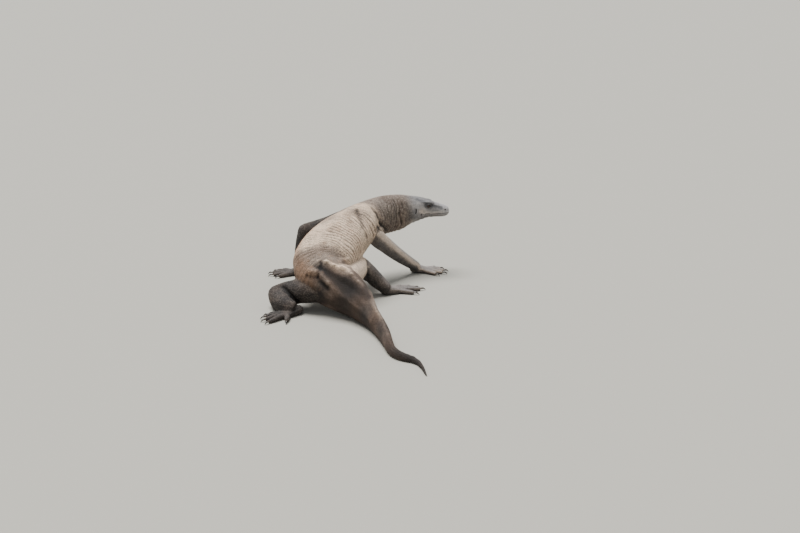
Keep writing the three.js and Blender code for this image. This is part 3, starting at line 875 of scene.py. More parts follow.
@dataclass
class Skin:
    """The one skin over the whole body, sculpted; lengths in metres."""

    voxel: float = 0.0031
    overlap: float = 0.0007
    passes: int = 50
    most_triangles: int = 190000
    head_thinning: float = 0.12
    sunk: float = 0.00035
    wrinkle_pitch: float = 0.016
    wrinkle_depth: float = 0.0034
    wrinkle_drift: float = 0.006
    neck_pitch: float = 0.024
    neck_depth: float = 0.0034
    neck_drift: float = 0.009
    limb_pitch: float = 0.0105
    limb_depth: float = 0.0016
    limb_drift: float = 0.004
    limb_bends: tuple[tuple[float, float], ...] = ((0.9, 0.6), (3.0, 1.0), (5.0, 0.8))
    throat_blur: float = 0.014
    brow_blur: float = 0.0075
    fine_blur: float = 0.0014
    last_blur: float = 0.0022
    last_fine_blur: float = 0.0006

    def blank(self) -> bpy.types.Mesh:
        """Fuses the body parts to one closed mesh.

        Returns:
            A mesh of small even quads.
        """
        fused = bmesh.new()
        for name in FLESH:
            part = bmesh.new()
            part.from_mesh(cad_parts[name].data)
            bmesh.ops.remove_doubles(part, verts=part.verts, dist=MERGED)
            part.normal_update()
            for vertex in part.verts:
                vertex.co += vertex.normal * self.overlap
            fused.from_mesh(mesh_of(part, name))
        piece = bpy.data.objects.new("blank", mesh_of(fused, "blank"))
        bpy.context.scene.collection.objects.link(piece)
        remesh = piece.modifiers.new("even", "REMESH")
        remesh.mode = "VOXEL"
        remesh.voxel_size = self.voxel
        even = applied(piece)
        bpy.data.objects.remove(piece)
        return even

    def whole(self, body: bmesh.types.BMesh) -> None:
        """Removes whatever hangs loose from the largest shell.

        Args:
            body: The fused body.
        """
        first, second = np.array([[v.index for v in edge.verts] for edge in body.edges]).T
        labels = np.arange(len(body.verts))
        while True:
            low = np.minimum(labels[first], labels[second])
            lower = labels.copy()
            np.minimum.at(lower, labels[first], low)
            np.minimum.at(lower, labels[second], low)
            lower = lower[lower]
            if np.array_equal(lower, labels):
                break
            labels = lower
        main = np.bincount(labels).argmax()
        loose = [vertex for vertex, label in zip(body.verts, labels) if label != main]
        bmesh.ops.delete(body, geom=loose, context="VERTS")

    def refine(self, body: bmesh.types.BMesh) -> None:
        """Halves the mesh over the head, and again at its fine features.

        Args:
            body: The fused body.
        """
        head_start, head_floor = 4, -90
        for close in (False, True):
            body.verts.ensure_lookup_table()
            local = HEAD.local(np.array([vertex.co for vertex in body.verts]))
            inside = (local[:, 0] > head_start) & (local[:, 2] > head_floor)
            if close:
                inside &= FACE.fine(local, 0.0)
            body.verts.index_update()
            edges = [edge for edge in body.edges if all(inside[vertex.index] for vertex in edge.verts)]
            bmesh.ops.subdivide_edges(body, edges=edges, cuts=1, use_grid_fill=True)

    def trunk_relief(self, points: np.ndarray, spine: Reading,
                     node_names: np.ndarray) -> tuple[np.ndarray, np.ndarray]:
        """Works out the wrinkles of the flanks and neck.

        Args:
            points: Places on the hide.
            spine: Their reading along the backbone.
            node_names: The body part of each.

        Returns:
            How far each place is raised, in metres, and how deep in a fold it lies, 0 to 1, which darkens it
            as painted shade.
        """
        phase = (spine.along + self.wrinkle_drift * wobble(points, 0.16, 3)) / self.wrinkle_pitch
        folds = np.abs(np.sin(np.pi * phase)) ** 0.75 - 0.6
        on_trunk = np.isin(node_names, ("chest", "belly", "pelvis"))
        right = window(spine.angle, 16, 122, 20) * window(spine.station, 4.1, 7.6, 0.6)
        left = 0.45 * window(-spine.angle, 25, 130, 25) * window(spine.station, 4.6, 8.0, 0.8)
        patchy = 0.75 + 0.35 * wobble(points, 0.09, 4)
        strength = (right + left) * patchy * on_trunk
        raised = self.wrinkle_depth * folds * strength
        # painted shade in the wrinkles' valleys
        valley = 1.5 * np.clip(-folds / 0.5, 0, 1) * strength
        on_neck = (node_names == "neck") | ((node_names == "chest") & (spine.station < 3.6))
        neck_phase = (spine.along + self.neck_drift * wobble(points, 0.12, 5)) / self.neck_pitch
        loose = window(np.abs(spine.angle), 55, 180, 25) * window(spine.station, 0.7, 3.1, 0.5)
        neck_folds = np.abs(np.sin(np.pi * neck_phase)) ** 0.7 - 0.6
        raised += self.neck_depth * neck_folds * loose * on_neck
        return raised, valley + 0.5 * np.clip(-neck_folds / 0.6, 0, 1) * loose * on_neck

    def limb_relief(self, points: np.ndarray, node_names: np.ndarray) -> np.ndarray:
        """Works out the wrinkles round shoulders, elbows, knees, wrists and ankles.

        Args:
            points: Places on the hide.
            node_names: The body part of each.

        Returns:
            How far each place is raised, in metres.
        """
        raised = np.zeros(len(points))
        for limb, nodes in LIMB_NODES.items():
            mine = np.isin(node_names, nodes)
            reading = LIMBS[limb].read(points[mine])
            bends = np.zeros(mine.sum())
            for station, amount in self.limb_bends:
                bends += amount * bell(reading.station - station, 0.55)
            phase = (reading.along + self.limb_drift * wobble(points[mine], 0.07, 6)) / self.limb_pitch
            raised[mine] = self.limb_depth * (np.abs(np.sin(np.pi * phase)) ** 0.7 - 0.6) * bends
        return raised

    def hide(self) -> Hide:
        """Sculpts the hide and works out its markings.

        Returns:
            The finished hide on its fine mesh.
        """
        mesh = self.blank()
        body = bmesh.new()
        body.from_mesh(mesh)
        self.whole(body)
        self.refine(body)
        body.to_mesh(mesh)
        body.free()
        surface = Surface.of(mesh)
        log.info("blank hide: %d points", len(surface.points))
        nodes = TAGGER.tag(surface.points)
        names = np.array(FLESH)[nodes]
        regions = np.array([region_of(name).value for name in FLESH])[nodes]
        at_head = regions == Region.HEAD.value
        keep = FACE.fine(HEAD.local(surface.points), 3.0) & at_head
        surface.fair(self.blur(surface, regions, keep), self.passes)
        spine = BACKBONE.read(surface.points)
        local = HEAD.local(surface.points)
        raised, folds = self.trunk_relief(surface.points, spine, names)
        raised += self.limb_relief(surface.points, names)
        bumps, crease = FACE.relief(local)
        raised += bumps * at_head
        crease = crease * at_head + folds
        shade = np.zeros(len(raised))
        for stroke in STROKES:
            weight = stroke.weight(surface.points)
            raised += weight * stroke.height * MM
            # each stroke's painted shade, or painted highlight where negative
            shade += weight * stroke.shade
        surface.points = surface.points + surface.normals() * raised[:, None]
        surface.fair(np.where(keep, self.last_fine_blur, self.last_blur), 6)
        marks = Markings(surface, names).laid(spine, local, raised, crease, shade)
        surface.write(mesh)
        return Hide(mesh, surface, surface.normals(), nodes, regions, self.lie(surface, names), marks)

    def blur(self, surface: Surface, regions: np.ndarray, keep: np.ndarray) -> np.ndarray:
        """Works out how far to smooth round each point of the fused body.

        Args:
            surface: The fused body.
            regions: The region of each point.
            keep: True at the head's fine features, which stay sharp.

        Returns:
            The distances, in metres.
        """
        local = HEAD.local(surface.points)
        blur = np.array([zone.blur * MM for zone in ZONES.values()])[regions]
        throat = window(local[:, 0], -70, 44, 16) * window(-local[:, 2], 44, 120, 30)
        blur = np.maximum(blur, self.throat_blur * throat)
        blur[keep] = self.fine_blur
        brow_end = FACE.knob(local, (120, 34), 20) * (regions == Region.HEAD.value)
        return surface.eased(np.maximum(blur, self.brow_blur * brow_end), 6)

    def lie(self, surface: Surface, names: np.ndarray) -> np.ndarray:
        """Works out which way the beads lie, back along the head and outwards along the rest.

        Args:
            surface: The sculpted hide.
            names: The body part of each point.

        Returns:
            A direction in the hide for each point.
        """
        lie = np.zeros_like(surface.points)
        for name in FLESH:
            mine = names == name
            ahead = course_of(name).read(surface.points[mine]).ahead
            lie[mine] = -ahead if region_of(name) is Region.HEAD else ahead
        return square_to(surface.normals(), surface.eased(lie, 12))

    def build(self, hide: Hide, atlas: "Atlas", finish: bpy.types.Material) -> bpy.types.Object:
        """Makes the skin under the beads.

        Args:
            hide: The sculpted hide.
            atlas: The flat layout of the body.
            finish: Its material.

        Returns:
            The skin, thinned to its triangle limit.
        """
        rises = hide.surface.eased(np.array([zone.rise * MM for zone in ZONES.values()])[hide.regions], 8)
        inner = hide.surface.points - hide.normals * (rises + self.sunk)[:, None]
        Surface(inner, hide.surface.triangles, hide.surface.edges).write(hide.mesh)
        for name, values in hide.marks.items():
            set_field(hide.mesh, name, values)
        piece = bpy.data.objects.new("fine_skin", hide.mesh)
        bpy.context.scene.collection.objects.link(piece)
        thinned = piece.vertex_groups.new(name="thin")
        at_head = hide.regions == Region.HEAD.value
        thinned.add(np.flatnonzero(~at_head).tolist(), 1.0, "REPLACE")
        thinned.add(np.flatnonzero(at_head).tolist(), self.head_thinning, "REPLACE")
        thin = piece.modifiers.new("thin", "DECIMATE")
        thin.ratio = self.most_triangles / len(hide.surface.triangles)
        thin.vertex_group = thinned.name
        mesh = applied(piece)
        bpy.data.objects.remove(piece)
        shade_smooth(mesh)
        atlas.unwrap(mesh)
        skin = show("skin", mesh, finish)
        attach(skin, "root")
        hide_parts(*FLESH)
        return skin


# ---------------------------------------------------------------- flat layout
@dataclass
class Chart:
    """One rectangle of the layout, in metres: wrapped round a centre line, or flat as seen from above."""

    size: tuple[float, float]
    course: Course | None = None
    start: tuple[float, float] = (0.0, 0.0)
    corner: tuple[float, float] = (0.0, 0.0)
    margin: float = 0.03
    degrees_high: float = 440.0  # a full turn and room for faces that cross the seam

    def lay(self, points: np.ndarray, turn: np.ndarray | None = None) -> np.ndarray:
        """Places points on the chart, in metres.

        Args:
            points: Places on the hide.
            turn: An angle that each point's own angle stays within half a turn of.

        Returns:
            Two numbers for each point.
        """
        if self.course is None:
            return points[:, :2] - self.start
        reading = self.course.read(points)
        angle = reading.angle
        if turn is not None:
            angle = turn + (angle - turn + 180) % 360 - 180
        height = (angle / self.degrees_high + 0.5) * self.size[1]
        return np.stack((reading.along + self.margin, height), axis=1)


@dataclass
class Atlas:
    """The layout of the whole hide in a unit square; the charts are in metres."""

    trunk_girth: float = 0.86
    tail_girth: float = 0.42
    limb_girth: float = 0.36
    room: float = 0.08
    foot_room: float = 0.01
    width: float = 2.1
    filled: float = 0.99
    edge: float = 0.004
    inside: tuple[float, float] = (0.0005, 0.9995)
    charts: list[Chart] = field(default_factory=list)
    by_node: np.ndarray = field(init=False)
    scale: float = field(init=False)

    def __post_init__(self) -> None:
        """Makes one chart for each course, and two for each hand or foot."""
        self.by_node = np.zeros((len(FLESH), 2), dtype=int)
        shared: dict[int, int] = {}
        for number, name in enumerate(FLESH):
            if region_of(name) is Region.FOOT:
                box = Surface.of(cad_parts[name].data).points[:, :2]
                start, end = box.min(axis=0) - self.foot_room, box.max(axis=0) + self.foot_room
                self.by_node[number] = len(self.charts), len(self.charts) + 1
                self.charts += [Chart(tuple(end - start), None, tuple(start)) for _ in range(2)]
                continue
            course = course_of(name)
            on_tail = region_of(name) is Region.TAIL
            key = 0 if on_tail else id(course)
            if key not in shared:
                shared[key] = len(self.charts)
                girth = self.trunk_girth if course is BACKBONE else self.limb_girth
                size = (course.lengths[-1] + self.room, self.tail_girth if on_tail else girth)
                self.charts.append(Chart(size, course))
            self.by_node[number] = shared[key]
        self.pack()

    def pack(self) -> None:
        """Puts the charts on shelves and finds the scale that fits them all."""
        left, floor, shelf = 0.0, 0.0, 0.0
        for chart in sorted(self.charts, key=lambda chart: -chart.size[1]):
            if left + chart.size[0] > self.width:
                left, floor, shelf = 0.0, floor + shelf, 0.0
            chart.corner = (left, floor)
            left += chart.size[0]
            shelf = max(shelf, chart.size[1])
        self.scale = self.filled / max(self.width, floor + shelf)

    def place(self, points: np.ndarray, nodes: np.ndarray, down: np.ndarray,
              anchors: np.ndarray | None = None) -> np.ndarray:
        """Finds places in the unit square.

        Args:
            points: Places on the hide.
            nodes: The body part of each.
            down: True where the hide faces down.
            anchors: A point that each place must stay beside.

        Returns:
            Two numbers for each point.
        """
        chosen = self.by_node[nodes, down.astype(int)]
        spots = np.zeros((len(points), 2))
        for number in np.unique(chosen):
            chart, mine = self.charts[number], chosen == number
            turn = None
            if anchors is not None and chart.course is not None:
                turn = chart.course.read(anchors[mine]).angle
            spots[mine] = (chart.lay(points[mine], turn) + chart.corner) * self.scale + self.edge
        return np.clip(spots, *self.inside)

    def unwrap(self, mesh: bpy.types.Mesh) -> None:
        """Lays a mesh out in its own map.

        Args:
            mesh: The mesh.
        """
        surface = Surface.of(mesh)
        corners = surface.points[surface.triangles]
        middles = corners.mean(axis=1)
        flat = np.cross(corners[:, 1] - corners[:, 0], corners[:, 2] - corners[:, 0])
        spots = self.place(corners.reshape(-1, 3), np.repeat(TAGGER.tag(middles), 3),
                           np.repeat(flat[:, 2] < 0, 3), np.repeat(middles, 3, axis=0))
        order = np.empty(len(mesh.loop_triangles) * 3, dtype=np.int32)
        mesh.loop_triangles.foreach_get("loops", order)
        loops = np.zeros((len(mesh.loops), 2))
        loops[order] = spots
        mesh.uv_layers.new(name="OFBake").data.foreach_set("uv", loops.ravel())


# ---------------------------------------------------------------- beads
@dataclass(frozen=True)
class Roots:
    """Where the beads sit on the hide, and what the hide is like there."""

    points: np.ndarray
    normals: np.ndarray
    lie: np.ndarray
    nodes: np.ndarray
    spacing: np.ndarray
    marks: dict[str, np.ndarray]


def tree_of(points: np.ndarray) -> KDTree:
    """Gathers places in a tree that finds the nearest ones.

    Args:
        points: The places.

    Returns:
        The tree, ready to search.
    """
    tree = KDTree(len(points))
    for number, point in enumerate(points.tolist()):
        tree.insert(point, number)
    tree.balance()
    return tree


@dataclass
class Coat:
    """The small bead-like scales over the skin; lengths in millimetres, the map's patch in its own unit."""

    most: int = 76000
    filled: float = 0.88  # beads for each square of the wished spacing
    tries: int = 340000
    most_in_piece: int = 10800
    sides: int = 6
    inset: float = 0.17  # of the bead's half width
    wall: float = 0.70  # of its height
    cap: float = 0.22
    stretch_chance: tuple[float, float] = (0.92, 0.16)  # the least, and how much more by chance
    width_chance: tuple[float, float] = (0.9, 0.18)
    sunk: float = 0.45
    closest: float = 0.84  # of the wished spacing
    settlings: int = 2
    spread: float = 0.66
    patch: float = 0.0015
    sole: float = 1.6
    least_height: float = 0.2
    eye_room: float = 9.4
    eye_finer: float = 1.1
    crown_coarser: float = 1.5
    lip_room: float = 1.5
    nostril_room: float = 3.6
    ear_room: tuple[float, float] = (2.4, 9.0)
    lip_step: float = 6.2
    lip_away: float = 3.7
    lip_ends: tuple[float, float] = (62, 198)
    lip_clear: float = 0.72  # of the lip's step
    lip_bead: float = 0.94  # of the lip's step
    aslant: tuple[float, float, float] = (0.4, 1.0, 0.0)  # the way in which a region is shared among pieces

    def spacing(self, hide: Hide) -> np.ndarray:
        """Gives the wished distance between beads, finer round the eyes and coarser on the crown.

        Args:
            hide: The sculpted hide.

        Returns:
            The distance at each point of the hide, in metres.
        """
        gaps = hide.surface.eased(np.array([zone.spacing for zone in ZONES.values()])[hide.regions], 25)
        both = folded(HEAD.local(hide.surface.points))
        head = hide.regions == Region.HEAD.value
        from_eye = np.linalg.norm(both - FACE.eye, axis=1)
        gaps = gaps - head * self.eye_finer * (1 - ramp(from_eye, 13, 22))
        crown = ramp(hide.normals[:, 2], 0.55, 0.9) * window(both[:, 0], 20, 150, 20)
        return (gaps + head * self.crown_coarser * crown) * MM

    def bare(self, points: np.ndarray) -> np.ndarray:
        """Says where no bead can sit: soles on the floor, eyes, mouth, nostrils and ears.

        Args:
            points: Places on the hide.

        Returns:
            True for each bare place.
        """
        both = folded(HEAD.local(points))
        x, y, z = both.T
        head = (x > 0) & (z > -90)
        closed = (x > FACE.mouth_corner[0]) & (np.abs(z - FACE.lips(x)) < self.lip_room)
        closed |= np.linalg.norm(both - FACE.eye, axis=1) < self.eye_room
        from_nostril = np.hypot((x - FACE.nostril[0]) / FACE.nostril_stretch, z - FACE.nostril[2])
        closed |= from_nostril < self.nostril_room
        wide, high = self.ear_room
        closed |= (np.abs(x - FACE.ear[0] - 1) < wide) & (np.abs(z - FACE.ear[2]) < high) & (y > 40)
        return (points[:, 2] < self.sole * MM) | (head & closed)

    def scatter(self, hide: Hide) -> Roots:
        """Spreads the beads evenly over the hide.

        Args:
            hide: The sculpted hide.

        Returns:
            The beads' roots.
        """
        chance = np.random.default_rng(SEED)
        surface, wished = hide.surface, self.spacing(hide)
        corners = surface.points[surface.triangles]
        flat = np.cross(corners[:, 1] - corners[:, 0], corners[:, 2] - corners[:, 0])
        area = np.linalg.norm(flat, axis=1) / 2
        need = area / wished[surface.triangles].mean(axis=1) ** 2
        wider = max(1.0, math.sqrt(self.filled * need.sum() / self.most))
        log.info("beads at most: %d, spacing made wider by %.3f", self.filled * need.sum(), wider)
        chosen = chance.choice(len(area), self.tries, p=need / need.sum())
        share = chance.random((self.tries, 2))
        over = share.sum(axis=1) > 1
        share[over] = 1 - share[over]
        weights = np.column_stack((1 - share.sum(axis=1), share))
        owners = surface.triangles[chosen]

        def blend(values: np.ndarray) -> np.ndarray:
            """Reads values of the hide at every try."""
            return np.einsum("nk,nk...->n...", weights, values[owners])

        points, gaps = blend(surface.points), blend(wished) * wider
        open_hide = ~self.bare(points)
        points, gaps, owners, weights = (rows[open_hide] for rows in (points, gaps, owners, weights))
        tree = tree_of(points)
        free = np.ones(len(points), dtype=bool)
        edging = self.lip_rows(points)
        for number in edging:
            around = tree.find_range(points[number], self.lip_step * self.lip_clear * MM)
            free[[found[1] for found in around]] = False
        kept = []
        for number in range(len(points)):
            if free[number]:
                kept.append(number)
                around = tree.find_range(points[number], gaps[number] * self.closest)
                free[[found[1] for found in around]] = False
        kept = np.array(kept)
        for _ in range(self.settlings):
            kept = self.settle(points, kept)
        roots = np.concatenate((edging, kept))
        gaps[edging] = self.lip_step * self.lip_bead * MM
        owners, weights = owners[roots], weights[roots]
        heavy = owners[np.arange(len(owners)), weights.argmax(axis=1)]
        return Roots(points[roots], unit(blend(hide.normals)), unit(blend(hide.lie)), hide.nodes[heavy],
                     gaps[roots], {name: blend(values) for name, values in hide.marks.items()})

    def lip_rows(self, points: np.ndarray) -> np.ndarray:
        """Picks the roots of the larger scales that edge the lips.

        Args:
            points: All tries.

        Returns:
            The numbers of the tries in the rows.
        """
        local = HEAD.local(points)
        rows = []
        for side in Side:
            mine = np.flatnonzero((local[:, 1] * side.value > 9) & (local[:, 0] > 50) & (local[:, 2] > -60))
            for x in np.arange(*self.lip_ends, self.lip_step):
                for away in (self.lip_away, -self.lip_away - 0.3):
                    height = FACE.lips(x) + away
                    rows.append(mine[np.hypot(local[mine, 0] - x, local[mine, 2] - height).argmin()])
        return np.unique(rows)

    def settle(self, points: np.ndarray, roots: np.ndarray) -> np.ndarray:
        """Moves each root to the middle of the ground nearest to it.

        Args:
            points: All tries.
            roots: The numbers of those that are roots.

        Returns:
            The numbers of the tries that lie nearest to the middles.
        """
        find = tree_of(points[roots]).find
        nearest = np.array([find(point)[1] for point in points.tolist()])
        count = np.bincount(nearest, minlength=len(roots))
        middles = np.stack([np.bincount(nearest, points[:, k], len(roots)) for k in range(3)], axis=1)
        middles /= np.maximum(count, 1)[:, None]
        away = np.linalg.norm(points - middles[nearest], axis=1)
        order = np.lexsort((away, nearest))
        first = np.unique(nearest[order], return_index=True)[1]
        return order[first]

    def bead(self) -> Surface:
        """Shapes one bead of radius one and height one.

        Returns:
            A low dome, open below.
        """
        dome = bmesh.new()
        bmesh.ops.create_circle(dome, cap_ends=True, segments=self.sides, radius=1.0)
        face = next(iter(dome.faces))
        bmesh.ops.inset_individual(dome, faces=[face], thickness=self.inset, depth=self.wall)
        bmesh.ops.poke(dome, faces=[face], offset=self.cap, center_mode="MEAN")
        bmesh.ops.triangulate(dome, faces=dome.faces)
        bmesh.ops.recalc_face_normals(dome, faces=dome.faces)
        bead = Surface.of(mesh_of(dome, "bead"))
        if bead.normals()[:, 2].sum() < 0:
            bead.triangles = bead.triangles[:, ::-1]
        return bead

    def piece(self, name: str, roots: Roots, mine: np.ndarray, places: np.ndarray,
              finish: bpy.types.Material) -> bpy.types.Object:
        """Makes one joined piece of beads.

        Args:
            name: Its name.
            roots: All the roots.
            mine: The numbers of the piece's roots.
            places: Where each root lies in the flat layout.
            finish: The beads' material.

        Returns:
            The piece.
        """
        chance = np.random.default_rng(SEED + len(mine))
        bead = self.bead()
        count, step = len(mine), len(bead.points)
        by_node = [ZONES[region_of(node)] for node in FLESH]
        zones = [by_node[number] for number in roots.nodes[mine]]
        height = np.array([zone.rise * MM for zone in zones]) + self.sunk * MM
        least, more = self.stretch_chance
        stretch = np.array([zone.stretch for zone in zones]) * (least + more * chance.random(count))
        least, more = self.width_chance
        width = roots.spacing[mine] * self.spread * (least + more * chance.random(count))
        normal = roots.normals[mine]
        lie = square_to(normal, roots.lie[mine])
        ways = (lie, np.cross(normal, lie), normal)
        sizes = (width * np.sqrt(stretch), width / np.sqrt(stretch), height)
        corners = (roots.points[mine] - normal * height[:, None])[:, None, :]
        for k, (way, size) in enumerate(zip(ways, sizes)):
            corners = corners + size[:, None, None] * bead.points[None, :, k:k + 1] * way[:, None, :]
        points = corners.reshape(-1, 3)
        points[:, 2] = np.maximum(points[:, 2], self.least_height * MM)
        triangles = (bead.triangles[None] + np.arange(count)[:, None, None] * step).reshape(-1, 3)
        mesh = mesh_from(name, points, triangles)
        for field_name, values in roots.marks.items():
            set_field(mesh, field_name, np.repeat(values[mine], step))
        # the height darkens each bead's foot as painted shade in the material
        set_field(mesh, "height", np.tile(bead.points[:, 2], count))
        set_field(mesh, "tint", np.repeat(chance.random(count), step))
        spots = places[mine][:, None, :] + bead.points[None, :, :2] * self.patch
        loops = spots.reshape(-1, 2)[triangles.ravel()]
        mesh.uv_layers.new(name="OFBake").data.foreach_set("uv", loops.ravel())
        piece = show(name, mesh, finish)
        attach(piece, "root")
        return piece

    def build(self, hide: Hide, atlas: Atlas, finish: bpy.types.Material) -> int:
        """Makes all the beads, in pieces by body part.

        Args:
            hide: The sculpted hide.
            atlas: The flat layout.
            finish: The beads' material.

        Returns:
            How many beads there are.
        """
        roots = self.scatter(hide)
        places = atlas.place(roots.points, roots.nodes, roots.normals[:, 2] < 0)
        groups: dict[str, list[int]] = {}
        for number, name in enumerate(FLESH):
            limb = next((limb for limb, nodes in LIMB_NODES.items() if name in nodes), None)
            key = limb or {"head": "head", "jaw": "head"}.get(name, name.split("_")[0])
            groups.setdefault(key, []).append(number)
        for key, numbers in groups.items():
            mine = np.flatnonzero(np.isin(roots.nodes, numbers))
            mine = mine[np.argsort(roots.points[mine] @ np.array(self.aslant))]
            parts = math.ceil(len(mine) / self.most_in_piece)
            for part, share in enumerate(np.array_split(mine, parts), start=1):
                self.piece(f"beads_{key}_{part}", roots, share, places, finish)
                log.info("beads_%s_%d: %d beads", key, part, len(share))
        return len(roots.points)


# ---------------------------------------------------------------- materials
Value = "Wire | float | tuple[float, ...]"


@dataclass(frozen=True)
class Wire:
    """A socket of a material; arithmetic on it adds the nodes that work it out."""

    sheet: "Sheet"
    socket: bpy.types.NodeSocket

    def maths(self, operation: str, first: Value, second: Value = 0.0) -> "Wire":
        """Adds one node of arithmetic."""
        return self.sheet.node("ShaderNodeMath", {"operation": operation}, {0: first, 1: second})

    def __add__(self, other: Value) -> "Wire":
        """Adds."""
        return self.maths("ADD", self, other)

    def __sub__(self, other: Value) -> "Wire":
        """Subtracts."""
        return self.maths("SUBTRACT", self, other)

    def __rsub__(self, other: Value) -> "Wire":
        """Is subtracted."""
        return self.maths("SUBTRACT", other, self)

    def __mul__(self, other: Value) -> "Wire":
        """Multiplies."""
        return self.maths("MULTIPLY", self, other)

    __radd__ = __add__
    __rmul__ = __mul__

    def clamped(self) -> "Wire":
        """Keeps the value within 0 to 1."""
        return self.sheet.node("ShaderNodeClamp", {}, {"Value": self})


@dataclass
class Sheet:
    """The node tree of one material."""

    name: str
    material: bpy.types.Material = field(init=False)
    shader: bpy.types.Node = field(init=False)

    def __post_init__(self) -> None:
        """Starts the material with its shader."""
        self.material = bpy.data.materials.new(self.name)
        self.material.use_nodes = True
        self.shader = self.material.node_tree.nodes["Principled BSDF"]

    def node(self, kind: str, settings: dict[str, object], inputs: dict[str | int, Value],
             output: str | int = 0) -> Wire:
        """Adds a node.

        Args:
            kind: The node's type.
            settings: What to set on it first; stops are a colour ramp's.
            inputs: The values or wires of its sockets.
            output: Which of its outputs to give.

        Returns:
            The output.
        """
        node = self.material.node_tree.nodes.new(kind)
        for key, value in settings.items():
            if key == "stops":
                elements = node.color_ramp.elements
                while len(elements) < len(value):
                    elements.new(0.5)
                for element, (place, colour) in zip(elements, value):
                    element.position = place
                    element.color = (*colour, 1.0)
            else:
                setattr(node, key, value)
        for key, value in inputs.items():
            self.feed(node.inputs[key], value)
        return Wire(self, node.outputs[output])

    def feed(self, socket: bpy.types.NodeSocket, value: Value) -> None:
        """Gives a socket a value or a wire.

        Args:
            socket: The socket.
            value: What it gets; a colour of three numbers becomes opaque.
        """
        if isinstance(value, Wire):
            self.material.node_tree.links.new(value.socket, socket)
        elif isinstance(value, tuple) and len(value) == 3 and socket.type == "RGBA":
            socket.default_value = (*value, 1.0)
        else:
            socket.default_value = value

    def place(self) -> Wire:
        """Gives the place on the object."""
        return self.node("ShaderNodeTexCoord", {}, {}, "Object")

    def mark(self, name: str) -> Wire:
        """Reads one of the mesh's fields."""
        return self.node("ShaderNodeAttribute", {"attribute_name": name}, {}, "Fac")

    def noise(self, size: float, detail: float = 3.0) -> Wire:
        """Gives a noise whose lumps have a size in metres."""
        inputs = {"Vector": self.place(), "Scale": 1 / size, "Detail": detail}
        return self.node("ShaderNodeTexNoise", {}, inputs)

    def mix(self, share: Value, first: Value, second: Value, blend: str = "MIX") -> Wire:
        """Blends two colours."""
        return self.node("ShaderNodeMix", {"data_type": "RGBA", "blend_type": blend},
                         {0: share, 6: first, 7: second}, 2)

    def bump(self, height: Wire, depth: float, strength: float) -> Wire:
        """Turns a height into a bump of a depth in metres."""
        inputs = {"Height": height, "Distance": depth, "Strength": strength}
        return self.node("ShaderNodeBump", {}, inputs, "Normal")

    def finish(self, **inputs: Value) -> bpy.types.Material:
        """Feeds the shader's sockets, named with underscores, and gives the material."""
        for name, value in inputs.items():
            self.feed(self.shader.inputs[name.replace("_", " ").title().replace("Ior", "IOR")], value)
        return self.material


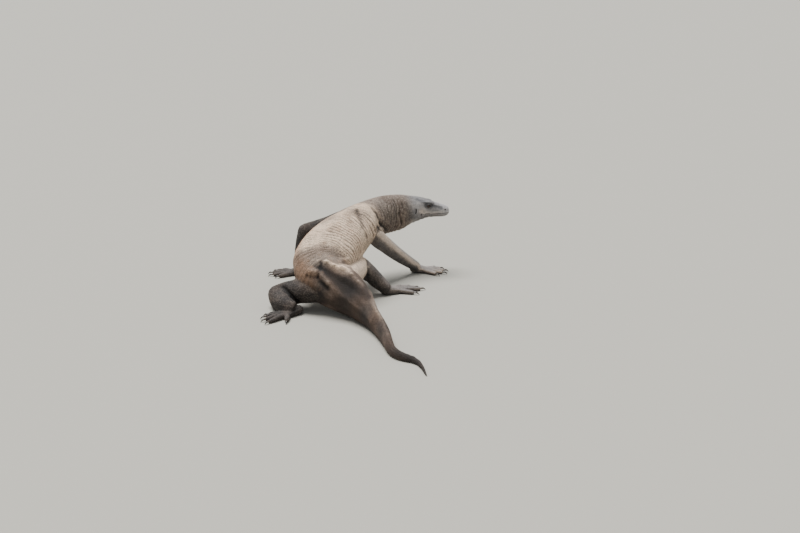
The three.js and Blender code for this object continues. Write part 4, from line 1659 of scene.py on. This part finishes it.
@dataclass(frozen=True)
class HideFinish:
    """The hide's colours, from dusty tan to charcoal brown, with its orange and blue-grey casts. The
    blue-grey is partly a painted sheen, and the darkening of creases, of each bead's foot and of the bare
    skin is painted shade.
    """

    pale: tuple[float, float, float] = (0.87, 0.675, 0.505)
    tan: tuple[float, float, float] = (0.30, 0.235, 0.185)
    brown: tuple[float, float, float] = (0.125, 0.096, 0.078)
    dark: tuple[float, float, float] = (0.033, 0.027, 0.024)
    orange: tuple[float, float, float] = (0.40, 0.215, 0.115)
    blue_grey: tuple[float, float, float] = (0.45, 0.48, 0.515)
    flecks: tuple[float, float, float] = (0.40, 0.345, 0.29)
    mottle_size: float = 0.028
    speck_size: float = 0.0045
    grain_size: float = 0.0011
    pebbles: float = 330.0  # to a metre
    mottle_weight: float = 0.34
    speck_weight: float = 0.27
    most_orange: float = 0.85
    most_blue_grey: float = 0.82
    fleck_share: float = 0.42
    # painted shade in the creases, and on the bare skin, which shows in the gaps between beads
    crease_shade: float = 0.76
    bare_shade: float = 0.62
    gloss: float = 0.25

    def colour(self, sheet: Sheet, beaded: bool) -> Wire:
        """Mixes the colour from the hide's fields.

        Args:
            sheet: The material's sheet.
            beaded: Whether the surface is beads, which carry a height and a tint of their own.

        Returns:
            The colour.
        """
        dusk, warm = sheet.mark("dusk"), sheet.mark("warm")
        frost, crease = sheet.mark("frost"), sheet.mark("crease")
        mottle = sheet.noise(self.mottle_size, 4.0) - 0.5
        speck = sheet.noise(self.speck_size, 2.0) - 0.5
        depth = (dusk + self.mottle_weight * mottle + self.speck_weight * speck).clamped()
        stops = ((0.0, self.pale), (0.34, self.tan), (0.68, self.brown), (1.0, self.dark))
        tone = sheet.node("ShaderNodeValToRGB", {"stops": stops}, {"Fac": depth}, "Color")
        warmed = (warm * (1 - 0.55 * dusk) + 0.30 * warm * mottle).clamped() * self.most_orange
        tone = sheet.mix(warmed, tone, self.orange)
        # the blue-grey, partly a painted sheen
        blue_grey_and_sheen_share = (frost * (1 - 0.62 * dusk) + 0.25 * frost * speck).clamped() * self.most_blue_grey
        tone = sheet.mix(blue_grey_and_sheen_share, tone, self.blue_grey)
        # painted shade in the creases
        shade = 1 - self.crease_shade * crease
        if beaded:
            height, tint = sheet.mark("height"), sheet.mark("tint")
            pick = ((tint - 0.55) * 5.0).clamped()
            tone = sheet.mix(self.fleck_share * pick * sheet.mark("fleck"), tone, self.flecks)
            # painted shade at each bead's foot; the tint is each bead's own random tone
            shade = shade * (0.60 + 0.42 * height) * (0.84 + 0.30 * tint)
        else:
            # painted shade on the bare skin
            shade = shade * self.bare_shade
        grey = sheet.node("ShaderNodeCombineColor", {}, {"Red": shade, "Green": shade, "Blue": shade})
        return sheet.mix(1.0, tone, grey, "MULTIPLY")

    def build(self, name: str, beaded: bool) -> bpy.types.Material:
        """Makes the material.

        Args:
            name: Its name.
            beaded: Whether it is for beads.

        Returns:
            The material.
        """
        sheet = Sheet(name)
        colour = self.colour(sheet, beaded)
        grain = sheet.noise(self.grain_size, 2.0)
        rough = (0.66 + 0.22 * (grain - 0.5) - 0.14 * sheet.mark("frost")).clamped()
        if beaded:
            normal = sheet.bump(grain, 0.0003, 0.35)
        else:
            inputs = {"Vector": sheet.place(), "Scale": self.pebbles}
            pebble = sheet.node("ShaderNodeTexVoronoi", {}, inputs, "Distance")
            normal = sheet.bump(1 - pebble, 0.0012, 0.6)
        return sheet.finish(base_color=colour, roughness=rough, normal=normal, specular_ior_level=self.gloss)


@dataclass(frozen=True)
class HornFinish:
    """Dark horn of the claws, paler at the root, with streaks along it."""

    root: tuple[float, float, float] = (0.115, 0.090, 0.072)
    point: tuple[float, float, float] = (0.022, 0.019, 0.018)

    def build(self) -> bpy.types.Material:
        """Makes the material.

        Returns:
            The horn, whose field reach runs from root to point.
        """
        sheet = Sheet("horn")
        reach, streak = sheet.mark("reach"), sheet.noise(0.0022, 3.0)
        tone = sheet.mix((1.15 * reach + 0.5 * (streak - 0.5)).clamped(), self.root, self.point)
        rough = (0.34 + 0.25 * (streak - 0.5)).clamped()
        return sheet.finish(base_color=tone, roughness=rough, normal=sheet.bump(streak, 0.0003, 0.4))


@dataclass(frozen=True)
class EyeFinish:
    """A dark wet eye: a round pupil, a brown iris and a dark rim."""

    pupil: tuple[float, float, float] = (0.004, 0.004, 0.004)
    iris: tuple[float, float, float] = (0.085, 0.043, 0.018)
    rim: tuple[float, float, float] = (0.016, 0.012, 0.010)

    def build(self) -> bpy.types.Material:
        """Makes the material.

        Returns:
            The eye, whose field turn runs from the gaze outwards.
        """
        sheet = Sheet("eye")
        turn = sheet.mark("turn") + 0.05 * (sheet.noise(0.0012, 2.0) - 0.5)
        stops = ((0.0, self.pupil), (0.30, self.pupil), (0.34, self.iris), (0.56, self.iris),
                 (0.66, self.rim))
        tone = sheet.node("ShaderNodeValToRGB", {"stops": stops}, {"Fac": turn}, "Color")
        return sheet.finish(base_color=tone, roughness=0.12, specular_ior_level=0.3, coat_weight=0.35,
                            coat_roughness=0.03)


@dataclass(frozen=True)
class FloorFinish:
    """A plain pale matt floor."""

    colour: tuple[float, float, float] = (0.36, 0.345, 0.30)
    stain: tuple[float, float, float] = (0.30, 0.285, 0.25)

    def build(self) -> bpy.types.Material:
        """Makes the material.

        Returns:
            The floor's material.
        """
        sheet = Sheet("floor")
        tone = sheet.mix(0.06 * sheet.noise(0.4), self.colour, self.stain)
        return sheet.finish(base_color=tone, roughness=0.9)


# ---------------------------------------------------------------- eyes and claws
@dataclass
class Eye:
    """An eyeball with its lids; lengths in millimetres in the head's axes."""

    side: Side
    radius: float = 8.6
    sunk: float = 2.2
    bulge: float = 0.7
    bulge_at: tuple[float, float] = (0.70, 0.95)  # from where to where it rises, as a share of the radius
    iris_turn: float = 1.6  # the angle from the gaze at which the field turn is one, in radians
    gaze: tuple[float, float, float] = (0.30, 0.92, 0.16)
    lid_radius: float = 10.0
    lid_thickness: float = 0.9
    lid_grain: float = 0.35
    lid_reach: float = 1.75
    lid_open: tuple[float, float, float] = (0.98, 0.44, 0.62)
    lid_sides: int = 44
    lid_steps: int = 156
    grains_round: int = 13
    grains_deep: int = 5
    lid_marks: tuple[tuple[str, float], ...] = (
        ("dusk", 0.90), ("warm", 0.04), ("frost", 0.22), ("crease", 0.0))

    def opening(self, angle: float) -> float:
        """Gives how far the lids' edge stands from the gaze.

        Args:
            angle: Where on the edge, in radians round the gaze.

        Returns:
            The distance, in radians.
        """
        wide, over, under = self.lid_open
        tall = over if self.side.value * math.sin(angle) < 0 else under
        almond = 1 / math.hypot(math.cos(angle) / wide, math.sin(angle) / tall)
        return almond * (1 - 0.10 * math.sin(2 * angle) ** 2)

    def place(self) -> Matrix:
        """Gives the eyeball's turn and place.

        Returns:
            The matrix from the eye's own axes, z along the gaze, to the model's.
        """
        mirror = np.array((1, self.side.value, 1))
        look = HEAD.way(self.gaze * mirror)
        centre = HEAD.world(FACE.eye * mirror) - look * self.sunk * MM
        ahead = square_to(look, HEAD.way((1, 0, 0)))
        turn = Matrix((ahead, np.cross(look, ahead), look)).transposed().to_4x4()
        return Matrix.Translation(Vector(centre)) @ turn

    def ball(self, finish: bpy.types.Material) -> bpy.types.Object:
        """Makes the eyeball, with a slight bulge over its iris.

        Args:
            finish: Its material.

        Returns:
            The eyeball.
        """
        shape = bmesh.new()
        bmesh.ops.create_uvsphere(shape, u_segments=48, v_segments=32, radius=self.radius * MM)
        for vertex in shape.verts:
            vertex.co.z += self.bulge * MM * ramp(vertex.co.z / (self.radius * MM), *self.bulge_at)
        heights = np.clip([vertex.co.normalized().z for vertex in shape.verts], -1, 1)
        bmesh.ops.transform(shape, matrix=self.place(), verts=shape.verts)
        mesh = mesh_of(shape, "eyeball")
        set_field(mesh, "turn", np.arccos(heights) / self.iris_turn)
        name = self.side.name.lower()
        piece = show(f"eyeball_{name}", mesh, finish)
        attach(piece, "root")
        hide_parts(f"eye_{name}")
        return piece

    def lids(self, finish: bpy.types.Material) -> bpy.types.Object:
        """Makes the lids, a grained shell over the ball with an almond opening.

        Args:
            finish: Their material.

        Returns:
            The lids.
        """
        ring = bmesh.new()
        inner = 2.0
        profile = bmesh.ops.create_circle(ring, segments=self.lid_sides, radius=1.0)["verts"]
        stand = Matrix.Translation((inner + 1, 0, 0)) @ Matrix.Rotation(math.pi / 2, 4, "X")
        bmesh.ops.transform(ring, matrix=stand, verts=profile)
        bmesh.ops.spin(ring, geom=ring.verts[:] + ring.edges[:], cent=(0, 0, 0), axis=(0, 0, 1),
                       angle=2 * math.pi, steps=self.lid_steps, use_merge=True)
        for vertex in ring.verts:
            angle = math.atan2(vertex.co.y, vertex.co.x)
            share = (math.hypot(vertex.co.x, vertex.co.y) - inner) / 2
            opening = self.opening(angle)
            polar = opening + share * (self.lid_reach - opening)
            round_grain = abs(math.sin(self.grains_round * angle)) * (vertex.co.z > 0)
            grain = math.sqrt(round_grain * abs(math.sin(self.grains_deep * math.pi * share)))
            reach = MM * (self.lid_radius + self.lid_thickness * vertex.co.z + self.lid_grain * grain)
            around = math.sin(polar) * reach
            vertex.co = (math.cos(angle) * around, math.sin(angle) * around, math.cos(polar) * reach)
        bmesh.ops.transform(ring, matrix=self.place(), verts=ring.verts)
        bmesh.ops.recalc_face_normals(ring, faces=ring.faces)
        mesh = mesh_of(ring, "lids")
        for name, value in self.lid_marks:
            set_field(mesh, name, np.full(len(mesh.vertices), value))
        piece = show(f"lids_{self.side.name.lower()}", mesh, finish)
        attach(piece, "root")
        return piece


@dataclass
class Claws:
    """The twenty claws, smoothed to curved horn; lengths in millimetres."""

    swell: float = 0.5
    least_height: float = 0.3
    levels: int = 2

    def build(self, finish: bpy.types.Material) -> list[bpy.types.Object]:
        """Makes a smooth claw over each plain one.

        Args:
            finish: The horn.

        Returns:
            The claws.
        """
        return [self.claw(name, finish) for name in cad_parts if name.startswith("claw_")]

    def claw(self, name: str, finish: bpy.types.Material) -> bpy.types.Object:
        """Makes one claw.

        Args:
            name: The plain claw's name.
            finish: The horn.

        Returns:
            The claw.
        """
        shape = bmesh.new()
        shape.from_mesh(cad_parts[name].data)
        bmesh.ops.remove_doubles(shape, verts=shape.verts, dist=MERGED)
        shape.normal_update()
        for vertex in shape.verts:
            vertex.co += vertex.normal * self.swell * MM
            vertex.co.z = max(vertex.co.z, self.least_height * MM)
        mesh = mesh_of(shape, name)
        points = Surface.of(mesh).points
        limb = name.replace("claw_", "")[:-2]
        wrist = Surface.of(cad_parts[limb].data).points.mean(axis=0)
        away = np.linalg.norm(points - wrist, axis=1)
        set_field(mesh, "reach", (away - away.min()) / np.ptp(away))
        piece = show(name.replace("claw", "horn"), mesh, finish)
        smooth = piece.modifiers.new("smooth", "SUBSURF")
        smooth.levels = smooth.render_levels = self.levels
        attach(piece, "root")
        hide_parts(name)
        return piece


# ---------------------------------------------------------------- studio
@dataclass
class Studio:
    """The floor, the light, the sky and the camera; lengths in metres, angles in degrees."""

    floor_size: float = 150.0
    light_lean: tuple[float, float] = (-0.22, 0.15)
    light_strength: float = 6.2
    light_width: float = 36.0
    sky_colour: tuple[float, float, float, float] = (0.93, 0.96, 1.0, 1.0)
    sky_strength: float = 0.60
    camera_at: tuple[float, float, float] = (0.0, -4.75, 1.5)
    tilt: float = 74.913
    lens: float = 50.0
    film: float = 36.0
    sight: float = 500.0

    def floor(self) -> None:
        """Lays the floor."""
        sheet = bmesh.new()
        bmesh.ops.create_grid(sheet, x_segments=8, y_segments=8, size=self.floor_size / 2)
        show("floor", mesh_of(sheet, "floor"), FloorFinish().build())

    def light(self) -> None:
        """Hangs one broad soft light far above, leaning in x and y for each unit of height."""
        lamp = bpy.data.lights.new("top", "SUN")
        lamp.energy = self.light_strength
        lamp.angle = math.radians(self.light_width)
        piece = bpy.data.objects.new("top", lamp)
        down = Vector((-self.light_lean[0], -self.light_lean[1], -1.0))
        piece.rotation_euler = down.to_track_quat("-Z", "Y").to_euler()
        bpy.context.scene.collection.objects.link(piece)

    def sky(self) -> None:
        """Lights the scene evenly from all round."""
        world = bpy.data.worlds.new("sky")
        world.use_nodes = True
        background = world.node_tree.nodes["Background"]
        background.inputs["Color"].default_value = self.sky_colour
        background.inputs["Strength"].default_value = self.sky_strength
        bpy.context.scene.world = world

    def camera(self) -> None:
        """Stands the camera beyond the tail and tips it down."""
        lens = bpy.data.cameras.new("camera")
        lens.lens = self.lens
        lens.sensor_width = self.film
        lens.clip_end = self.sight
        camera = bpy.data.objects.new("camera", lens)
        camera.location = ORIGIN + self.camera_at
        camera.rotation_euler = (math.radians(self.tilt), 0.0, 0.0)
        bpy.context.scene.collection.objects.link(camera)
        bpy.context.scene.camera = camera

    def build(self) -> None:
        """Sets up floor, light, sky and camera."""
        self.floor()
        self.light()
        self.sky()
        self.camera()


def main() -> None:
    """Builds the dragon and its studio."""
    logging.basicConfig(level=logging.INFO, format="%(message)s")
    finish = HideFinish()
    bare_hide, beaded_hide = finish.build("hide", False), finish.build("beaded_hide", True)
    atlas, skin = Atlas(), Skin()
    hide = skin.hide()
    log.info("hide sculpted")
    piece = skin.build(hide, atlas, bare_hide)
    log.info("skin: %d faces", len(piece.data.polygons))
    log.info("beads: %d", Coat().build(hide, atlas, beaded_hide))
    eye_finish = EyeFinish().build()
    for side in Side:
        eye = Eye(side)
        eye.ball(eye_finish)
        eye.lids(bare_hide)
        log.info("eye %s", side.name.lower())
    log.info("claws: %d", len(Claws().build(HornFinish().build())))
    Studio().build()
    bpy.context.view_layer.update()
    log.info("done")


if __name__ == "__main__":
    main()
